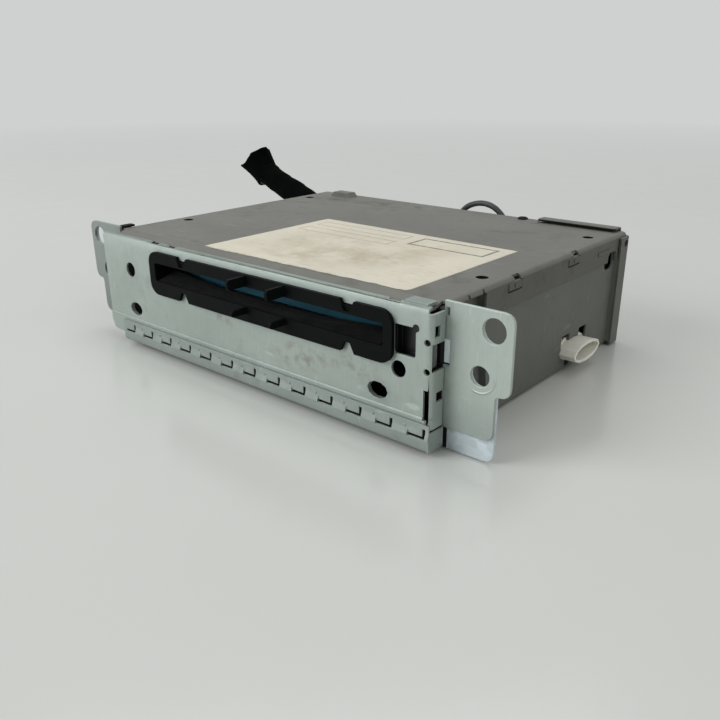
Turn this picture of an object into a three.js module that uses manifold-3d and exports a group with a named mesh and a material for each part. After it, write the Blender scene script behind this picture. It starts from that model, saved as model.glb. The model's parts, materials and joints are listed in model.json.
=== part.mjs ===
// Slot-loading car navigation head unit without its fascia, in millimetres.
// X runs to the right along the front, Y runs away from the front, Z is up.
// The origin is the centre of the underside of the chassis floor.

import * as THREE from 'three';
import { mergeVertices } from 'three/addons/utils/BufferGeometryUtils.js';
import Module from 'manifold-3d';

const wasm = await Module();
wasm.setup();

// Driving sizes of the whole unit
const body = { width: 178, height: 50, depth: 144 };
const steel = { thickness: 1, bend: 1.8 };
const gap = 0.3;
const overrun = 1;
const halfWidth = body.width / 2;
const front = -body.depth / 2;
const back = body.depth / 2;
const top = body.height;

// The disc that the drive takes, which sets out the slot and the drive
const disc = { centreX: 8.7, centreY: 80, pathZ: 38.6, drop: 2.2 };
const spindleY = front + disc.centreY;

// Casing. A place named Y is measured back from the front, In and Out from the side, EndIn from the back
const tub = { recess: 3, recessTopY: 30.4, recessBottomY: 37.3, holeRadius: 1.6, rim: 6 };
const standoff = { radius: 3, height: 6.5, inset: 8 };
const cover = {
  flange: 10.5, lipStartY: 2.2, lipEndY: 5.5, rampEndY: 9.4, lipDrop: 1.3, lipInset: 3, holeRadius: 2.3,
};
const coverTab = {
  width: 8.7, height: 4.6, corner: 0.8, proud: 0.35, firstY: 44.2, secondY: 88.9,
  dimpleRadius: 0.7, slit: 0.8, notch: 4.5,
};
const coverNick = { width: 1.2, depth: 0.8, firstY: 19.7, secondY: 28.2 };
const coverDent = { endIn: 17, length: 11.5, down: 6.2, height: 1.7, corner: 0.6, proud: 0.35 };
const coverBump = { sideIn: 13, endIn: 5, width: 15, depth: 6, height: 2.4 };
const coverHole = { sideIn: 8, frontY: 40, endIn: 22.2 };
const label = { left: -31, rightIn: 17.5, nearY: 8.6, farY: 83, skew: 2, corner: 2.5, thickness: 0.2 };
const plate = { leftOut: 2, lowEdge: 4.8, flange: 2.4, creaseZ: 13.1, creaseStep: 0.4 };
const plateCorner = { risen: 4, middleX: 1.3, middleZ: 1.6, endX: 4.4 };
const plateReturn = { lowZ: 9, holeZ: 40.2, holeHeight: 3.6, holeY: 2, holeDepth: 2.6 };
const clipWindow = {
  lowZ: 28.9, highZ: 38, startY: 1.2, sideIn: 2.3, reliefIn: 1.95, relief: 1.1, earOut: 1.6, earRise: 0.8,
};
const foldSlot = { lowZ: 12.2, highZ: 22.6, sideIn: 1, width: 1.9 };
const returnNotch = { lowZ: 18.2, highZ: 21.5, depth: 3.8 };
const sideWindow = { leftIn: 15, rightIn: 6.3, lowZ: 32.5, highZ: 42.4, corner: 1, relief: 1.3 };
const plateHole = {
  leftIn: 17.1, leftZ: 35.2, leftRadius: 3.2, room: 5, rightIn: 12.9, rightZ: 27.3, rightRadius: 2.9,
};
const drawnHole = {
  leftIn: 18.2, rightIn: 21.6, z: 17.6, halfLength: 4.3, halfHeight: 3, collar: 1.4, depth: 0.9, room: 5.4,
};
const topNotch = { depth: 1.8, firstX: -54.7, secondX: -45.4, rightIn: 18, width: 4.5, secondWidth: 6.4 };
const flangeTab = {
  sideIn: 3, width: 9, startY: 1.9, restY: 5, endY: 7, under: 0.7, endUnder: 0.35, rise: 0.4,
};
const rail = {
  leftIn: 8.5, rightOut: 0.5, lowZ: 1.7, highZ: 11.4, foot: 5.5, thickness: 0.6, bend: 1.2,
  capTop: 8.6, capEndY: 7.2,
};
const finger = {
  startIn: 5.6, pitch: 13.3, window: 7, slit: 1.2, lowZ: 6.2, slotTop: 7.2, highZ: 8.7,
  windowTop: 9.9, proud: 0.6,
};
const fingerDimple = { radius: 0.5, offset: 1.8, z: 9.3, proud: 0.3 };
const frame = {
  setback: 7.6, thickness: 1.2, reach: 23.6, topZ: 51, openLeftIn: 27, openRightIn: 3, openLow: 24,
};
const ear = { lowZ: 8.3, corner: 4, stepZ: 24, stepIn: 3.6, stepFillet: 1.5, waistIn: 0.8 };
const earRelief = { sideIn: 0.3, width: 1.4, down: 4.8, height: 2.6 };
const earHole = {
  upperIn: 6.7, upperDown: 6.4, upperRadius: 4.1, lowerIn: 10.8, lowerDown: 21.8, lowerRadius: 3.4,
};
const bracket = {
  thickness: 1.2, lowRight: 0.3, lowLeft: 12, corner: 4, arm: 17, holeSlack: 0.5, armRise: 3.7, armHigh: 44,
};
const bracketRivet = { radius: 2, head: 0.7, y: 20, rise: 11.7, highZ: 38 };
const rear = {
  flange: 8.5, topFlange: 7, topLeftIn: 39.5, topRightIn: 3, lowTop: 48.4, lift: 0.8, holeIn: 3.5, holeZ: 45.5,
};
const sleeve = {
  endIn: 41, z: 8.1, halfLength: 11.7, halfHeight: 4.3, wall: 1.3, reach: 6.5, inside: 3.5, lip: 1.2,
};
const sleeveSlot = { width: 6.8, before: -11, after: 4.3, lowZ: 10.3, highZ: 15.4 };
const underSlot = { before: -6.4, width: 3.9, lowZ: 1.4, highZ: 4.5 };
const wallCut = { endIn: 18, z: 35.8, width: 8, height: 7.8, corner: 2.5 };
const screwSize = { shank: 1.4, length: 4, head: 2.9, headHeight: 1.6, recess: 1.1, recessDepth: 0.8 };

// Slot bezel and what sits round it
const bezel = {
  left: -54.8, right: 74.6, lowZ: 28.4, highZ: 46.6, proud: 1.3, corner: 5, wall: 1.6, ductEnd: 10.2,
};
const slotShape = { left: -51, right: 71, corner: 1.2, lowZ: 34.2, mouthHigh: 42, highZ: 43, cavityY: 0.8 };
const bezelNotch = { leftX: -32.8, rightX: 55.6, mouth: 6.2, root: 2.4, upperDepth: 4, lowerDepth: 3.7 };
const rib = { leftX: 5.5, rightX: 26, thickness: 1.2, chamfer: 0.8 };
const upperRib = { lowZ: 42.3, highZ: 46.2, reach: 8.5 };
const lowerRib = { lowZ: 31.8, highZ: 34.2, reach: 7.5 };
const felt = { side: 1.2, endY: 8, steps: 14 };
const upperFelt = { startY: 0.8, middle: -0.5, end: -2 };
const lowerFelt = { startY: -0.6, middle: 0.4, end: 3.5 };
const shutter = {
  hingeY: 12.6, hingeZ: 45.4, drop: 11.8, thickness: 0.9, pin: 0.9, lug: 1.4, lugHalf: 2, bore: 1.2,
};
const windowBlock = { leftIn: 15.6, rightIn: 4.7, lowZ: 31.2, highZ: 44, pocket: 2.4, wall: 1.2 };
const clip = { reach: 3, thickness: 0.5, lowZ: 30, highZ: 37.5, startY: 1.5, footY: 5.4, bend: 0.8 };

// Electronics and rear connections
const board = { left: -62, right: 71, startY: 22, endIn: 12, thickness: 1.6 };
const chip = { large: 22, middle: 14, small: 8, height: 1.6, tall: 3.4 };
const spreader = { width: 26, depth: 26, base: 1.2, finHeight: 2.6, fins: 6, share: 0.5 };
const tunerCan = { width: 30, depth: 34, height: 9, x: 46, inY: 16, wall: 0.6 };
const header = {
  left: -60, right: -24, height: 21, inside: 16, wall: 1.4, floor: 2, proud: 2,
  pins: 5, pinSize: 0.8, pinReach: 6,
};
const harnessPlug = {
  reach: 15, inside: 5.5, outlet: 4, outletRadius: 8, outletOut: 10.4, outletZ: 22, lever: 2.2, leverReach: 9,
};
const aerial = {
  spacing: 15, firstX: -4, z: 22, size: 9.4, proud: 3, inside: 9, bore: 2.9, base: 2, pin: 0.6,
};
const aerialPlug = { size: 8.6, reach: 10, nose: 2.2, height: 13 };
const harnessCord = { reach: 92.7, diameter: 15, sides: 12, steps: 22, flareRadius: 11, flareLength: 8 };
const jumperCord = { diameter: 2.8, sides: 8, steps: 24 };
const fan = {
  sideIn: 21.5, z: 26, size: 36, depth: 10, bore: 16.6, hub: 7.4, blades: 7, blade: 1.2, tip: 15.8,
  strut: 2.2, pitchAngle: Math.PI / 5,
};
const fanX = halfWidth - fan.sideIn;
const fanZ = fan.z;
const fanPin = { radius: 1, bore: 1.3, end: 3.6 };

// Drive
const deck = {
  z: 26.8, thickness: 1.2, left: -63.2, right: 71.2, startY: 13, endY: 128, wallTop: 45.1, bend: 1.8,
  notchDepth: 6, notchZ: 40,
};
const damper = { radius: 4.5, low: 12, high: 24.4, bore: 2.3, stud: 2, studDrop: 7, floor: 3 };
const damperSpots = { leftIn: 19, leftY: 18.6, rearY: 119, rightIn: 10.1, rightY: 15 };
const damperTab = { half: 4 };
const roller = { y: 25, z: 34.7, endRadius: 3.6, midRadius: 3, shaft: 1.5, half: 58, bore: 1.8 };
const gear = {
  module: 0.7, thickness: 3, backlash: 0.15, bore: 1.75,
  rollerTeeth: 18, idlerTeeth: 24, pinionTeeth: 12, wheelTeeth: 24,
};
const gearX = deck.right + 0.8;
const runningGap = 0.25;
const idlerDrop = 3.4;
const wormSize = { radius: 2.4, depth: 0.7, pitch: 2.2, length: 12, shaft: 0.8, tipGap: 0.35 };
const loadMotor = { length: 20, startY: 63, boss: 2.4, bossLength: 1.2 };
const traverse = {
  left: -61.4, right: 40, startY: 57.5, endY: 112, thickness: 1.2, flangeTop: 34.4, lift: 2.2,
};
const liftPin = { radius: 1.3, z: 32, frontY: 72, rearY: 104 };
const liftStud = { radius: 1.5, head: 2.6, headZ: 33.2, headHeight: 0.8, x: 34, frontY: 66, rearY: 104 };
const camSlide = {
  thickness: 1.2, startY: 36, endY: 112, low: 28.6, high: 47.4, travel: 8, slotGap: 0.45, rail: 3.2,
};
const guideStud = { radius: 1.5, head: 2.6, headThickness: 0.8, firstY: 62, secondY: 84, z: 39.5 };
const bridge = { thickness: 1, startY: 40, openLeft: -40, openRight: 57, openFront: 56, openBack: 117 };
const clampArm = { half: 13, startY: 66, thickness: 1, drop: 0.9, hingeY: 122, pin: 1.1, knuckle: 2.1 };
const clampRod = { radius: 1.1, y: 100, angle: 2 };
const puck = {
  radius: 14, thickness: 2, recess: 8, recessDepth: 1, stem: 5, stemGap: 0.4, flange: 7, flangeThickness: 0.8,
};
const spindle = {
  motor: 12, motorLow: 21.5, motorTop: 32.8, plate: 14, hub: 2.4, cone: 7.4, coneTop: 6, coneHeight: 2,
  shaft: 1, flange: 13.5, flangeHeight: 0.8,
};
const sledSize = {
  innerRadius: 24, half: 9, depth: 30, low: 29.8, high: 35.4, lens: 3, lensRise: 0.5,
};
const guideRod = { spread: 19, radius: 1.5, z: 32, left: -60, right: -3, postWidth: 1.6, postHalf: 3 };
const leadScrew = {
  offset: 25.5, radius: 1.6, depth: 0.5, pitch: 4, length: 62, stub: 0.9, bore: 1.2,
  motorLength: 15, motorRadius: 3.4,
};
const lever = { pivotIn: 57.5, pivotY: 52, pinIn: 52, pinY: 33, width: 5, thickness: 1.5, z: 41.6 };
const leverPin = { radius: 1, drop: 5.6, axle: 1.4, room: 0.6 };

// Colours, roughness and metalness of the finishes
const finish = (color, roughness, metalness) => new THREE.MeshStandardMaterial({ color, roughness, metalness });
const brightZinc = finish(0x96a39b, 0.38, 0.9);
const railZinc = finish(0x8a9590, 0.34, 0.9);
const spangleZinc = finish(0x7d8790, 0.5, 0.8);
const coverZinc = finish(0x7a7971, 0.5, 0.8);
const wallZinc = finish(0x5c5e58, 0.55, 0.8);
const darkSteel = finish(0x24282a, 0.5, 0.7);
const springSteel = finish(0x9aa09c, 0.3, 0.9);
const polished = finish(0xb4b8ba, 0.22, 1);
const blackPlastic = finish(0x15181a, 0.55, 0);
const darkFelt = finish(0x241f1b, 0.95, 0);
const shutterPlastic = finish(0x14323c, 0.25, 0.1);
const creamPlastic = finish(0xd2d2c4, 0.5, 0);
const paper = finish(0xdcd7c3, 0.8, 0);
const boardGreen = finish(0x1f4a33, 0.6, 0);
const tinned = finish(0xa9adac, 0.35, 0.9);
const rubber = finish(0x1a1a1a, 0.9, 0);
const gearPlastic = finish(0xcfcabb, 0.5, 0);
const sheath = finish(0x0f1010, 0.85, 0);
const aerialPlastic = finish(0x2f4a6a, 0.5, 0);

// Solids: closed meshes that can be joined and cut
function solid(geometry) {
  const bare = geometry.clone();
  bare.deleteAttribute('normal');
  bare.deleteAttribute('uv');
  const merged = mergeVertices(bare);
  return new wasm.Manifold(new wasm.Mesh({
    numProp: 3,
    vertProperties: new Float32Array(merged.attributes.position.array),
    triVerts: new Uint32Array(merged.index.array),
  }));
}

const join = (first, ...others) => others.reduce((sum, other) => sum.add(other), first);
const cut = (base, ...tools) => tools.reduce((rest, tool) => rest.subtract(tool), base);

function block(x0, x1, y0, y1, z0, z1) {
  const geometry = new THREE.BoxGeometry(x1 - x0, y1 - y0, z1 - z0);
  geometry.translate((x0 + x1) / 2, (y0 + y1) / 2, (z0 + z1) / 2);
  return solid(geometry);
}

// Where a drawing's u, v and extrusion directions point for each axis
const alongX = new THREE.Vector3(1, 0, 0);
const alongY = new THREE.Vector3(0, 1, 0);
const alongZ = new THREE.Vector3(0, 0, 1);
const drawing = {
  x: new THREE.Matrix4().makeBasis(alongY, alongZ, alongX),
  y: new THREE.Matrix4().makeBasis(alongX, alongZ, alongY.clone().negate()),
  z: new THREE.Matrix4(),
};

// An outline drawn square to an axis and pulled along it from one place to another
function prism(shape, axis, from, to, curveSegments = 4) {
  const outline = shape instanceof THREE.Shape ? shape : polygon(shape);
  const geometry = new THREE.ExtrudeGeometry(outline, { depth: to - from, bevelEnabled: false, curveSegments });
  geometry.translate(0, 0, axis === 'y' ? -to : from);
  geometry.applyMatrix4(drawing[axis]);
  return solid(geometry);
}

const polygon = (points) => new THREE.Shape(points.map(([u, v]) => new THREE.Vector2(u, v)));

function cylinder(axis, radius, from, to, u, v, sides = 16) {
  const geometry = new THREE.CylinderGeometry(radius, radius, to - from, sides);
  geometry.rotateX(Math.PI / 2);
  geometry.translate(u, v, axis === 'y' ? -(from + to) / 2 : (from + to) / 2);
  geometry.applyMatrix4(drawing[axis]);
  return solid(geometry);
}

// A profile of radius and height turned about an axis
function turned(profile, axis, u, v, sides = 24) {
  const geometry = new THREE.LatheGeometry(profile.map(([r, h]) => new THREE.Vector2(r, h)), sides);
  geometry.rotateX(Math.PI / 2);
  geometry.translate(u, v, 0);
  geometry.applyMatrix4(drawing[axis]);
  return solid(geometry);
}

function roundedRect(u0, u1, v0, v1, radius) {
  const shape = new THREE.Shape();
  shape.moveTo(u0 + radius, v0);
  shape.absarc(u1 - radius, v0 + radius, radius, -Math.PI / 2, 0, false);
  shape.absarc(u1 - radius, v1 - radius, radius, 0, Math.PI / 2, false);
  shape.absarc(u0 + radius, v1 - radius, radius, Math.PI / 2, Math.PI, false);
  shape.absarc(u0 + radius, v0 + radius, radius, Math.PI, Math.PI * 1.5, false);
  return shape;
}

function ellipse(u, v, halfU, halfV) {
  const shape = new THREE.Shape();
  shape.absellipse(u, v, halfU, halfV, 0, Math.PI * 2, false);
  return shape;
}

// Section of a folded sheet: the path is its outer face and the sheet lies to the left of it
function folded(path, thickness, outerBend, bendSteps = 3) {
  const points = path.map(([u, v]) => new THREE.Vector2(u, v));
  const outer = [];
  const inner = [];
  points.forEach((point, i) => {
    const before = i > 0 ? point.clone().sub(points[i - 1]).normalize() : null;
    const after = i < points.length - 1 ? points[i + 1].clone().sub(point).normalize() : null;
    if (!before || !after) {
      const along = before || after;
      outer.push(point.clone());
      inner.push(point.clone().add(new THREE.Vector2(-along.y, along.x).multiplyScalar(thickness)));
      return;
    }
    const turn = Math.atan2(before.cross(after), before.dot(after));
    const nearRadius = turn > 0 ? outerBend : outerBend - thickness;
    const farRadius = turn > 0 ? outerBend - thickness : outerBend;
    const side = Math.sign(turn);
    const setback = nearRadius * Math.tan(Math.abs(turn) / 2);
    const start = point.clone().addScaledVector(before, -setback);
    const centre = start.clone().add(new THREE.Vector2(-before.y, before.x).multiplyScalar(side * nearRadius));
    for (let step = 0; step <= bendSteps; step += 1) {
      const angle = Math.atan2(before.y, before.x) - side * Math.PI / 2 + turn * step / bendSteps;
      const ray = new THREE.Vector2(Math.cos(angle), Math.sin(angle));
      outer.push(centre.clone().addScaledVector(ray, nearRadius));
      inner.push(centre.clone().addScaledVector(ray, farRadius));
    }
  });
  return new THREE.Shape([...outer, ...inner.reverse()]);
}

// A round bar with a screw thread, its foot at the origin and its length along +Z
function threadedBar({ radius, depth, pitch, length, sides = 8, stepsPerTurn = 6 }) {
  const rings = Math.round(length / pitch * stepsPerTurn);
  const positions = [];
  for (let ring = 0; ring <= rings; ring += 1) {
    for (let side = 0; side < sides; side += 1) {
      const angle = side / sides * Math.PI * 2;
      const phase = (ring / stepsPerTurn - side / sides) % 1;
      const wave = Math.abs(((phase + 1) % 1) * 2 - 1);
      const r = radius - depth * wave;
      positions.push(r * Math.cos(angle), r * Math.sin(angle), ring / rings * length);
    }
  }
  const footCentre = positions.length / 3;
  positions.push(0, 0, 0, 0, 0, length);
  const index = [];
  for (let side = 0; side < sides; side += 1) {
    const next = (side + 1) % sides;
    index.push(footCentre, next, side);
    index.push(footCentre + 1, rings * sides + side, rings * sides + next);
    for (let ring = 0; ring < rings; ring += 1) {
      const a = ring * sides + side;
      const b = ring * sides + next;
      index.push(a, b, b + sides, a, b + sides, a + sides);
    }
  }
  const geometry = new THREE.BufferGeometry();
  geometry.setAttribute('position', new THREE.Float32BufferAttribute(positions, 3));
  geometry.setIndex(index);
  return geometry;
}

// A spur gear's outline with straight flanks; a tooth points along the phase angle
function gearShape(teeth, phase) {
  const pitchRadius = gear.module * teeth / 2;
  const rootRadius = pitchRadius - gear.module * 1.25;
  const tipRadius = pitchRadius + gear.module * 0.9;
  const step = Math.PI * 2 / teeth;
  const cornerShares = [[rootRadius, -0.32], [tipRadius, -0.12], [tipRadius, 0.12], [rootRadius, 0.32]];
  const points = [];
  for (let tooth = 0; tooth < teeth; tooth += 1) {
    for (const [radius, share] of cornerShares) {
      const angle = phase + (tooth + share) * step;
      points.push(new THREE.Vector2(radius * Math.cos(angle), radius * Math.sin(angle)));
    }
  }
  return new THREE.Shape(points);
}

function spurGear(teeth, phase, x0, x1, y, z) {
  const geometry = new THREE.ExtrudeGeometry(gearShape(teeth, phase), { depth: x1 - x0, bevelEnabled: false });
  geometry.translate(y, z, x0);
  geometry.applyMatrix4(drawing.x);
  return solid(geometry);
}

const unit = new THREE.Group();

function add(name, shape, material) {
  const { numProp, vertProperties, triVerts } = shape.getMesh();
  const positions = new Float32Array(triVerts.length * 3);
  triVerts.forEach((vertex, i) => {
    for (let axis = 0; axis < 3; axis += 1) positions[i * 3 + axis] = vertProperties[vertex * numProp + axis];
  });
  const geometry = new THREE.BufferGeometry();
  geometry.setAttribute('position', new THREE.BufferAttribute(positions, 3));
  geometry.computeVertexNormals();
  const mesh = new THREE.Mesh(geometry, material);
  mesh.name = name;
  unit.add(mesh);
  return shape;
}

// Places that several pieces share
const wallX = halfWidth - steel.thickness - gap;
const wallTop = top - steel.thickness - gap;
const recessX = wallX - tub.recess;
const frameFront = front + frame.setback;
const frameBack = frameFront + frame.thickness;
const earReach = halfWidth + frame.reach;
const earWaist = halfWidth - ear.waistIn;
const plateLeft = -halfWidth - plate.leftOut;
const leftHoleX = -halfWidth + plateHole.leftIn;
const rightHoleX = halfWidth - plateHole.rightIn;
const drawnHoleXs = [-halfWidth + drawnHole.leftIn, halfWidth - drawnHole.rightIn];
const bracketFront = frameBack;
const bracketBack = bracketFront + bracket.thickness;
const tubFront = bracketBack + gap;
const tubBack = back - steel.thickness - gap;
const boardZ = steel.thickness + standoff.height;
const boardTop = boardZ + board.thickness;
const boardBack = back - board.endIn;
const deckTop = deck.z + deck.thickness;
const wallRight = deck.right - deck.thickness;
const wallLeft = deck.left + deck.thickness;
const sidePair = [-1, 1];

// Chassis tub: floor and both walls folded from one sheet, with the front of each wall set in
function recessSection(x0, x1, offset) {
  const outline = [
    [front, -overrun], [front + tub.recessBottomY + offset, -overrun],
    [front + tub.recessTopY + offset, top], [front, top],
  ];
  return prism(outline, 'x', x0, x1);
}

function recessedWall(shell, side) {
  const outer = side * (wallX + overrun);
  const inner = side * (recessX - steel.thickness);
  const low = Math.min(outer, inner);
  const high = Math.max(outer, inner);
  const inside = block(-body.width, body.width, tubFront, tubBack, 0, wallTop);
  const setIn = cut(
    recessSection(Math.min(side * wallX, inner), Math.max(side * wallX, inner), steel.thickness),
    recessSection(Math.min(outer, side * recessX), Math.max(outer, side * recessX), 0),
  ).intersect(inside);
  return join(cut(shell, recessSection(low, high, 0)), setIn);
}

function sleeveOutline(grow) {
  return ellipse(back - sleeve.endIn, sleeve.z, sleeve.halfLength + grow, sleeve.halfHeight + grow);
}

function wallHole(x0, x1) {
  const y = back - wallCut.endIn;
  const outline = roundedRect(
    y, y + wallCut.width, wallCut.z, wallCut.z + wallCut.height, wallCut.corner,
  );
  return prism(outline, 'x', x0, x1);
}

function wallOpenings() {
  const through = [wallX - tub.rim, wallX + overrun];
  const y = back - sleeve.endIn;
  const slots = [sleeveSlot.before, sleeveSlot.after].map((offset) => block(
    ...through, y + offset, y + offset + sleeveSlot.width, sleeveSlot.lowZ, sleeveSlot.highZ,
  ));
  const under = block(
    ...through, y + underSlot.before, y + underSlot.before + underSlot.width,
    underSlot.lowZ, underSlot.highZ,
  );
  return [...slots, under, wallHole(...through)];
}

function chassisTub() {
  const path = [[-wallX, wallTop], [-wallX, 0], [wallX, 0], [wallX, wallTop]];
  let shell = prism(folded(path, steel.thickness, steel.bend), 'y', tubFront, tubBack);
  for (const side of sidePair) shell = recessedWall(shell, side);
  const sleeveHole = prism(sleeveOutline(gap), 'x', wallX - tub.rim, wallX + overrun, 6);
  shell = cut(shell, sleeveHole, ...wallOpenings());
  for (const [x, y] of boardSpots()) {
    const post = cylinder('z', standoff.radius, steel.thickness / 2, boardZ, x, y, 10);
    const bore = cylinder('z', screwSize.shank + gap, boardZ - screwSize.length, boardZ + overrun, x, y, 8);
    shell = join(shell, cut(post, bore));
  }
  for (const [x, y] of damperPlaces()) {
    shell = join(shell, cylinder('z', damper.stud + gap, steel.thickness / 2, damper.low, x, y, 10));
  }
  return shell;
}

function boardSpots() {
  const xs = [board.left + standoff.inset, board.right - standoff.inset];
  const ys = [front + board.startY + standoff.inset, boardBack - standoff.inset];
  return xs.flatMap((x) => ys.map((y) => [x, y]));
}

function damperPlaces() {
  const left = -halfWidth + damperSpots.leftIn;
  const right = halfWidth - damperSpots.rightIn;
  return [
    [left, front + damperSpots.leftY],
    [left, front + damperSpots.rearY],
    [right, front + damperSpots.rightY],
    [right, front + damperSpots.rearY],
  ];
}

// Top cover: a lid with side flanges, a stepped front lip and slit spring tabs on both flanges
function coverTongues() {
  const low = top - coverTab.height;
  const high = top - steel.bend;
  return sidePair.flatMap((side) => [coverTab.firstY, coverTab.secondY].map((y) => {
    const faces = [side * (halfWidth - steel.thickness / 2), side * (halfWidth + coverTab.proud)];
    const tongue = roundedRect(front + y, front + y + coverTab.width, low, high, coverTab.corner);
    const tips = [faces[0], faces[1] + side * coverTab.proud];
    const dimple = cylinder(
      'x', coverTab.dimpleRadius, Math.min(...tips), Math.max(...tips),
      front + y + coverTab.width / 2, (low + high) / 2, 8,
    );
    return join(prism(tongue, 'x', Math.min(...faces), Math.max(...faces)), dimple);
  }));
}

// A block cut out of one side of the cover, from a place inside its edge outwards
function edgeCut(side, inner, y0, y1, z0, z1) {
  const xs = [side * inner, side * (halfWidth + overrun)];
  return block(Math.min(...xs), Math.max(...xs), y0, y1, z0, z1);
}

function coverSideCuts(side) {
  const low = top - coverTab.height;
  const high = top - steel.bend;
  const inner = halfWidth - steel.bend;
  const slits = [coverTab.firstY, coverTab.secondY].flatMap((y) => {
    const end = front + y + coverTab.width;
    return [
      edgeCut(side, inner, front + y, end + coverTab.slit, low - coverTab.slit, low),
      edgeCut(side, inner, end, end + coverTab.slit, low - coverTab.slit, high),
      edgeCut(side, inner, end - coverTab.notch, end, high, top + overrun),
    ];
  });
  const nicks = [coverNick.firstY, coverNick.secondY].map((y) => edgeCut(
    side, halfWidth - coverNick.depth, front + y, front + y + coverNick.width, top - overrun * 2, top + overrun,
  ));
  const start = front + cover.rampEndY - gap;
  const overRecess = edgeCut(
    side, inner, start - overrun, front + tub.recessTopY, top - cover.flange - overrun, high,
  );
  return [...slits, ...nicks, overRecess];
}

function coverRaisedParts() {
  const bumpX = -halfWidth + coverBump.sideIn;
  const bumpEnd = bumpX + coverBump.width;
  const bump = prism([
    [bumpX, top - steel.thickness / 2], [bumpEnd, top - steel.thickness / 2],
    [bumpEnd - coverBump.height, top + coverBump.height], [bumpX + coverBump.height, top + coverBump.height],
  ], 'y', back - coverBump.endIn - coverBump.depth, back - coverBump.endIn);
  const dentEnd = back - coverDent.endIn;
  const dentZ = top - coverDent.down;
  const dent = roundedRect(
    dentEnd - coverDent.length, dentEnd, dentZ, dentZ + coverDent.height, coverDent.corner,
  );
  return [bump, prism(dent, 'x', halfWidth - steel.thickness / 2, halfWidth + coverDent.proud)];
}

function topCover() {
  const low = top - cover.flange;
  const start = front + cover.rampEndY - gap;
  const path = [[halfWidth, low], [halfWidth, top], [-halfWidth, top], [-halfWidth, low]];
  const lid = prism(folded(path, steel.thickness, steel.bend), 'y', start, tubBack);
  const lipTop = top - cover.lipDrop;
  const lip = folded([
    [start + overrun, top], [front + cover.rampEndY, top],
    [front + cover.lipEndY, lipTop], [front + cover.lipStartY, lipTop],
  ], steel.thickness, steel.bend, 2);
  const lipPart = prism(lip, 'x', -halfWidth + cover.lipInset, halfWidth - cover.lipInset);
  const holeX = halfWidth - coverHole.sideIn;
  const holes = [front + coverHole.frontY, back - coverHole.endIn].flatMap((y) => sidePair.map(
    (side) => cylinder('z', cover.holeRadius, top - overrun * 2, top + overrun, side * holeX, y, 14),
  ));
  const sideCuts = sidePair.flatMap((side) => coverSideCuts(side));
  const bare = cut(join(lid, lipPart), ...sideCuts);
  return cut(
    join(bare, ...coverRaisedParts(), ...coverTongues()),
    ...holes, wallHole(halfWidth - steel.bend, halfWidth + overrun),
  );
}

// Paper label stuck to the cover, blank
function paperLabel() {
  const right = halfWidth - label.rightIn;
  const nearY = front + label.nearY;
  const outline = new THREE.Shape();
  outline.moveTo(label.left, nearY);
  outline.lineTo(right - label.corner, nearY + label.skew);
  outline.quadraticCurveTo(right, nearY + label.skew, right, nearY + label.corner + label.skew);
  outline.lineTo(right, front + label.farY - label.skew);
  outline.lineTo(label.left, front + label.farY);
  return prism(outline, 'z', top, top + label.thickness);
}

// Front plate: face, top flange and right-hand return, with the slot and the holes cut through
function plateSheet() {
  const faceY = front + plate.creaseStep;
  const faceBack = faceY + steel.thickness;
  const stepZ = plate.creaseZ - plate.creaseStep;
  const upper = folded([
    [faceY + plate.flange, top - gap], [faceY, top - gap], [faceY, plate.creaseZ],
  ], steel.thickness, steel.bend, 2);
  const lower = [
    [front, plate.lowEdge], [front + steel.thickness, plate.lowEdge], [front + steel.thickness, stepZ],
    [faceBack, plate.creaseZ], [faceBack, plate.creaseZ + overrun], [faceY, plate.creaseZ + overrun],
    [faceY, plate.creaseZ], [front, stepZ],
  ];
  const parts = [upper, lower].map((outline) => prism(outline, 'x', plateLeft, halfWidth - steel.bend));
  return join(...parts);
}

function lowerLeftCorner() {
  const x = plateLeft;
  const z = plate.lowEdge;
  const { risen, middleX, middleZ, endX } = plateCorner;
  return prism([
    [x - overrun, z - overrun], [x + endX, z - overrun], [x + endX, z],
    [x + middleX, z + middleZ - overrun], [x + middleX, z + middleZ],
    [x, z + risen], [x - overrun, z + risen],
  ], 'y', front - overrun, front + overrun * 3);
}

const bezelOutline = () => roundedRect(bezel.left, bezel.right, bezel.lowZ, bezel.highZ, bezel.corner);

function notchOutline(x, edgeZ, tipZ) {
  const root = bezelNotch.root / 2;
  const mouth = bezelNotch.mouth / 2;
  const outside = edgeZ + Math.sign(edgeZ - tipZ) * overrun;
  return [
    [x - mouth, outside], [x - mouth, edgeZ], [x - root, tipZ],
    [x + root, tipZ], [x + mouth, edgeZ], [x + mouth, outside],
  ];
}

function notchTools(y0, y1) {
  return [bezelNotch.leftX, bezelNotch.rightX].flatMap((x) => {
    const upper = notchOutline(x, bezel.highZ, bezel.highZ - bezelNotch.upperDepth);
    const lower = notchOutline(x, bezel.lowZ, bezel.lowZ + bezelNotch.lowerDepth);
    return [prism(upper, 'y', y0, y1), prism(lower, 'y', y0, y1)];
  });
}

function collar(x) {
  const { z, halfLength, halfHeight, collar: rim, depth } = drawnHole;
  const outer = ellipse(x, z, halfLength + rim, halfHeight + rim);
  const faceBack = front + plate.creaseStep + steel.thickness;
  return prism(outer, 'y', faceBack - steel.thickness / 2, faceBack + depth, 5);
}

function plateReturnFold() {
  const faceY = front + plate.creaseStep;
  const section = folded([
    [halfWidth - steel.bend * 2, faceY], [halfWidth, faceY], [halfWidth, frameFront - gap],
  ], steel.thickness, steel.bend);
  return prism(section, 'z', plateReturn.lowZ, top - gap - steel.bend);
}

// A tab that stands up from the right end of the top flange
function raisedTab() {
  const { sideIn, width, startY, restY, endY, under, endUnder, rise } = flangeTab;
  return prism([
    [front + startY, top - under], [front + restY, top - under], [front + endY, top - endUnder],
    [front + endY, top + rise], [front + startY, top + rise],
  ], 'x', halfWidth - sideIn - width, halfWidth - sideIn);
}

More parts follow.
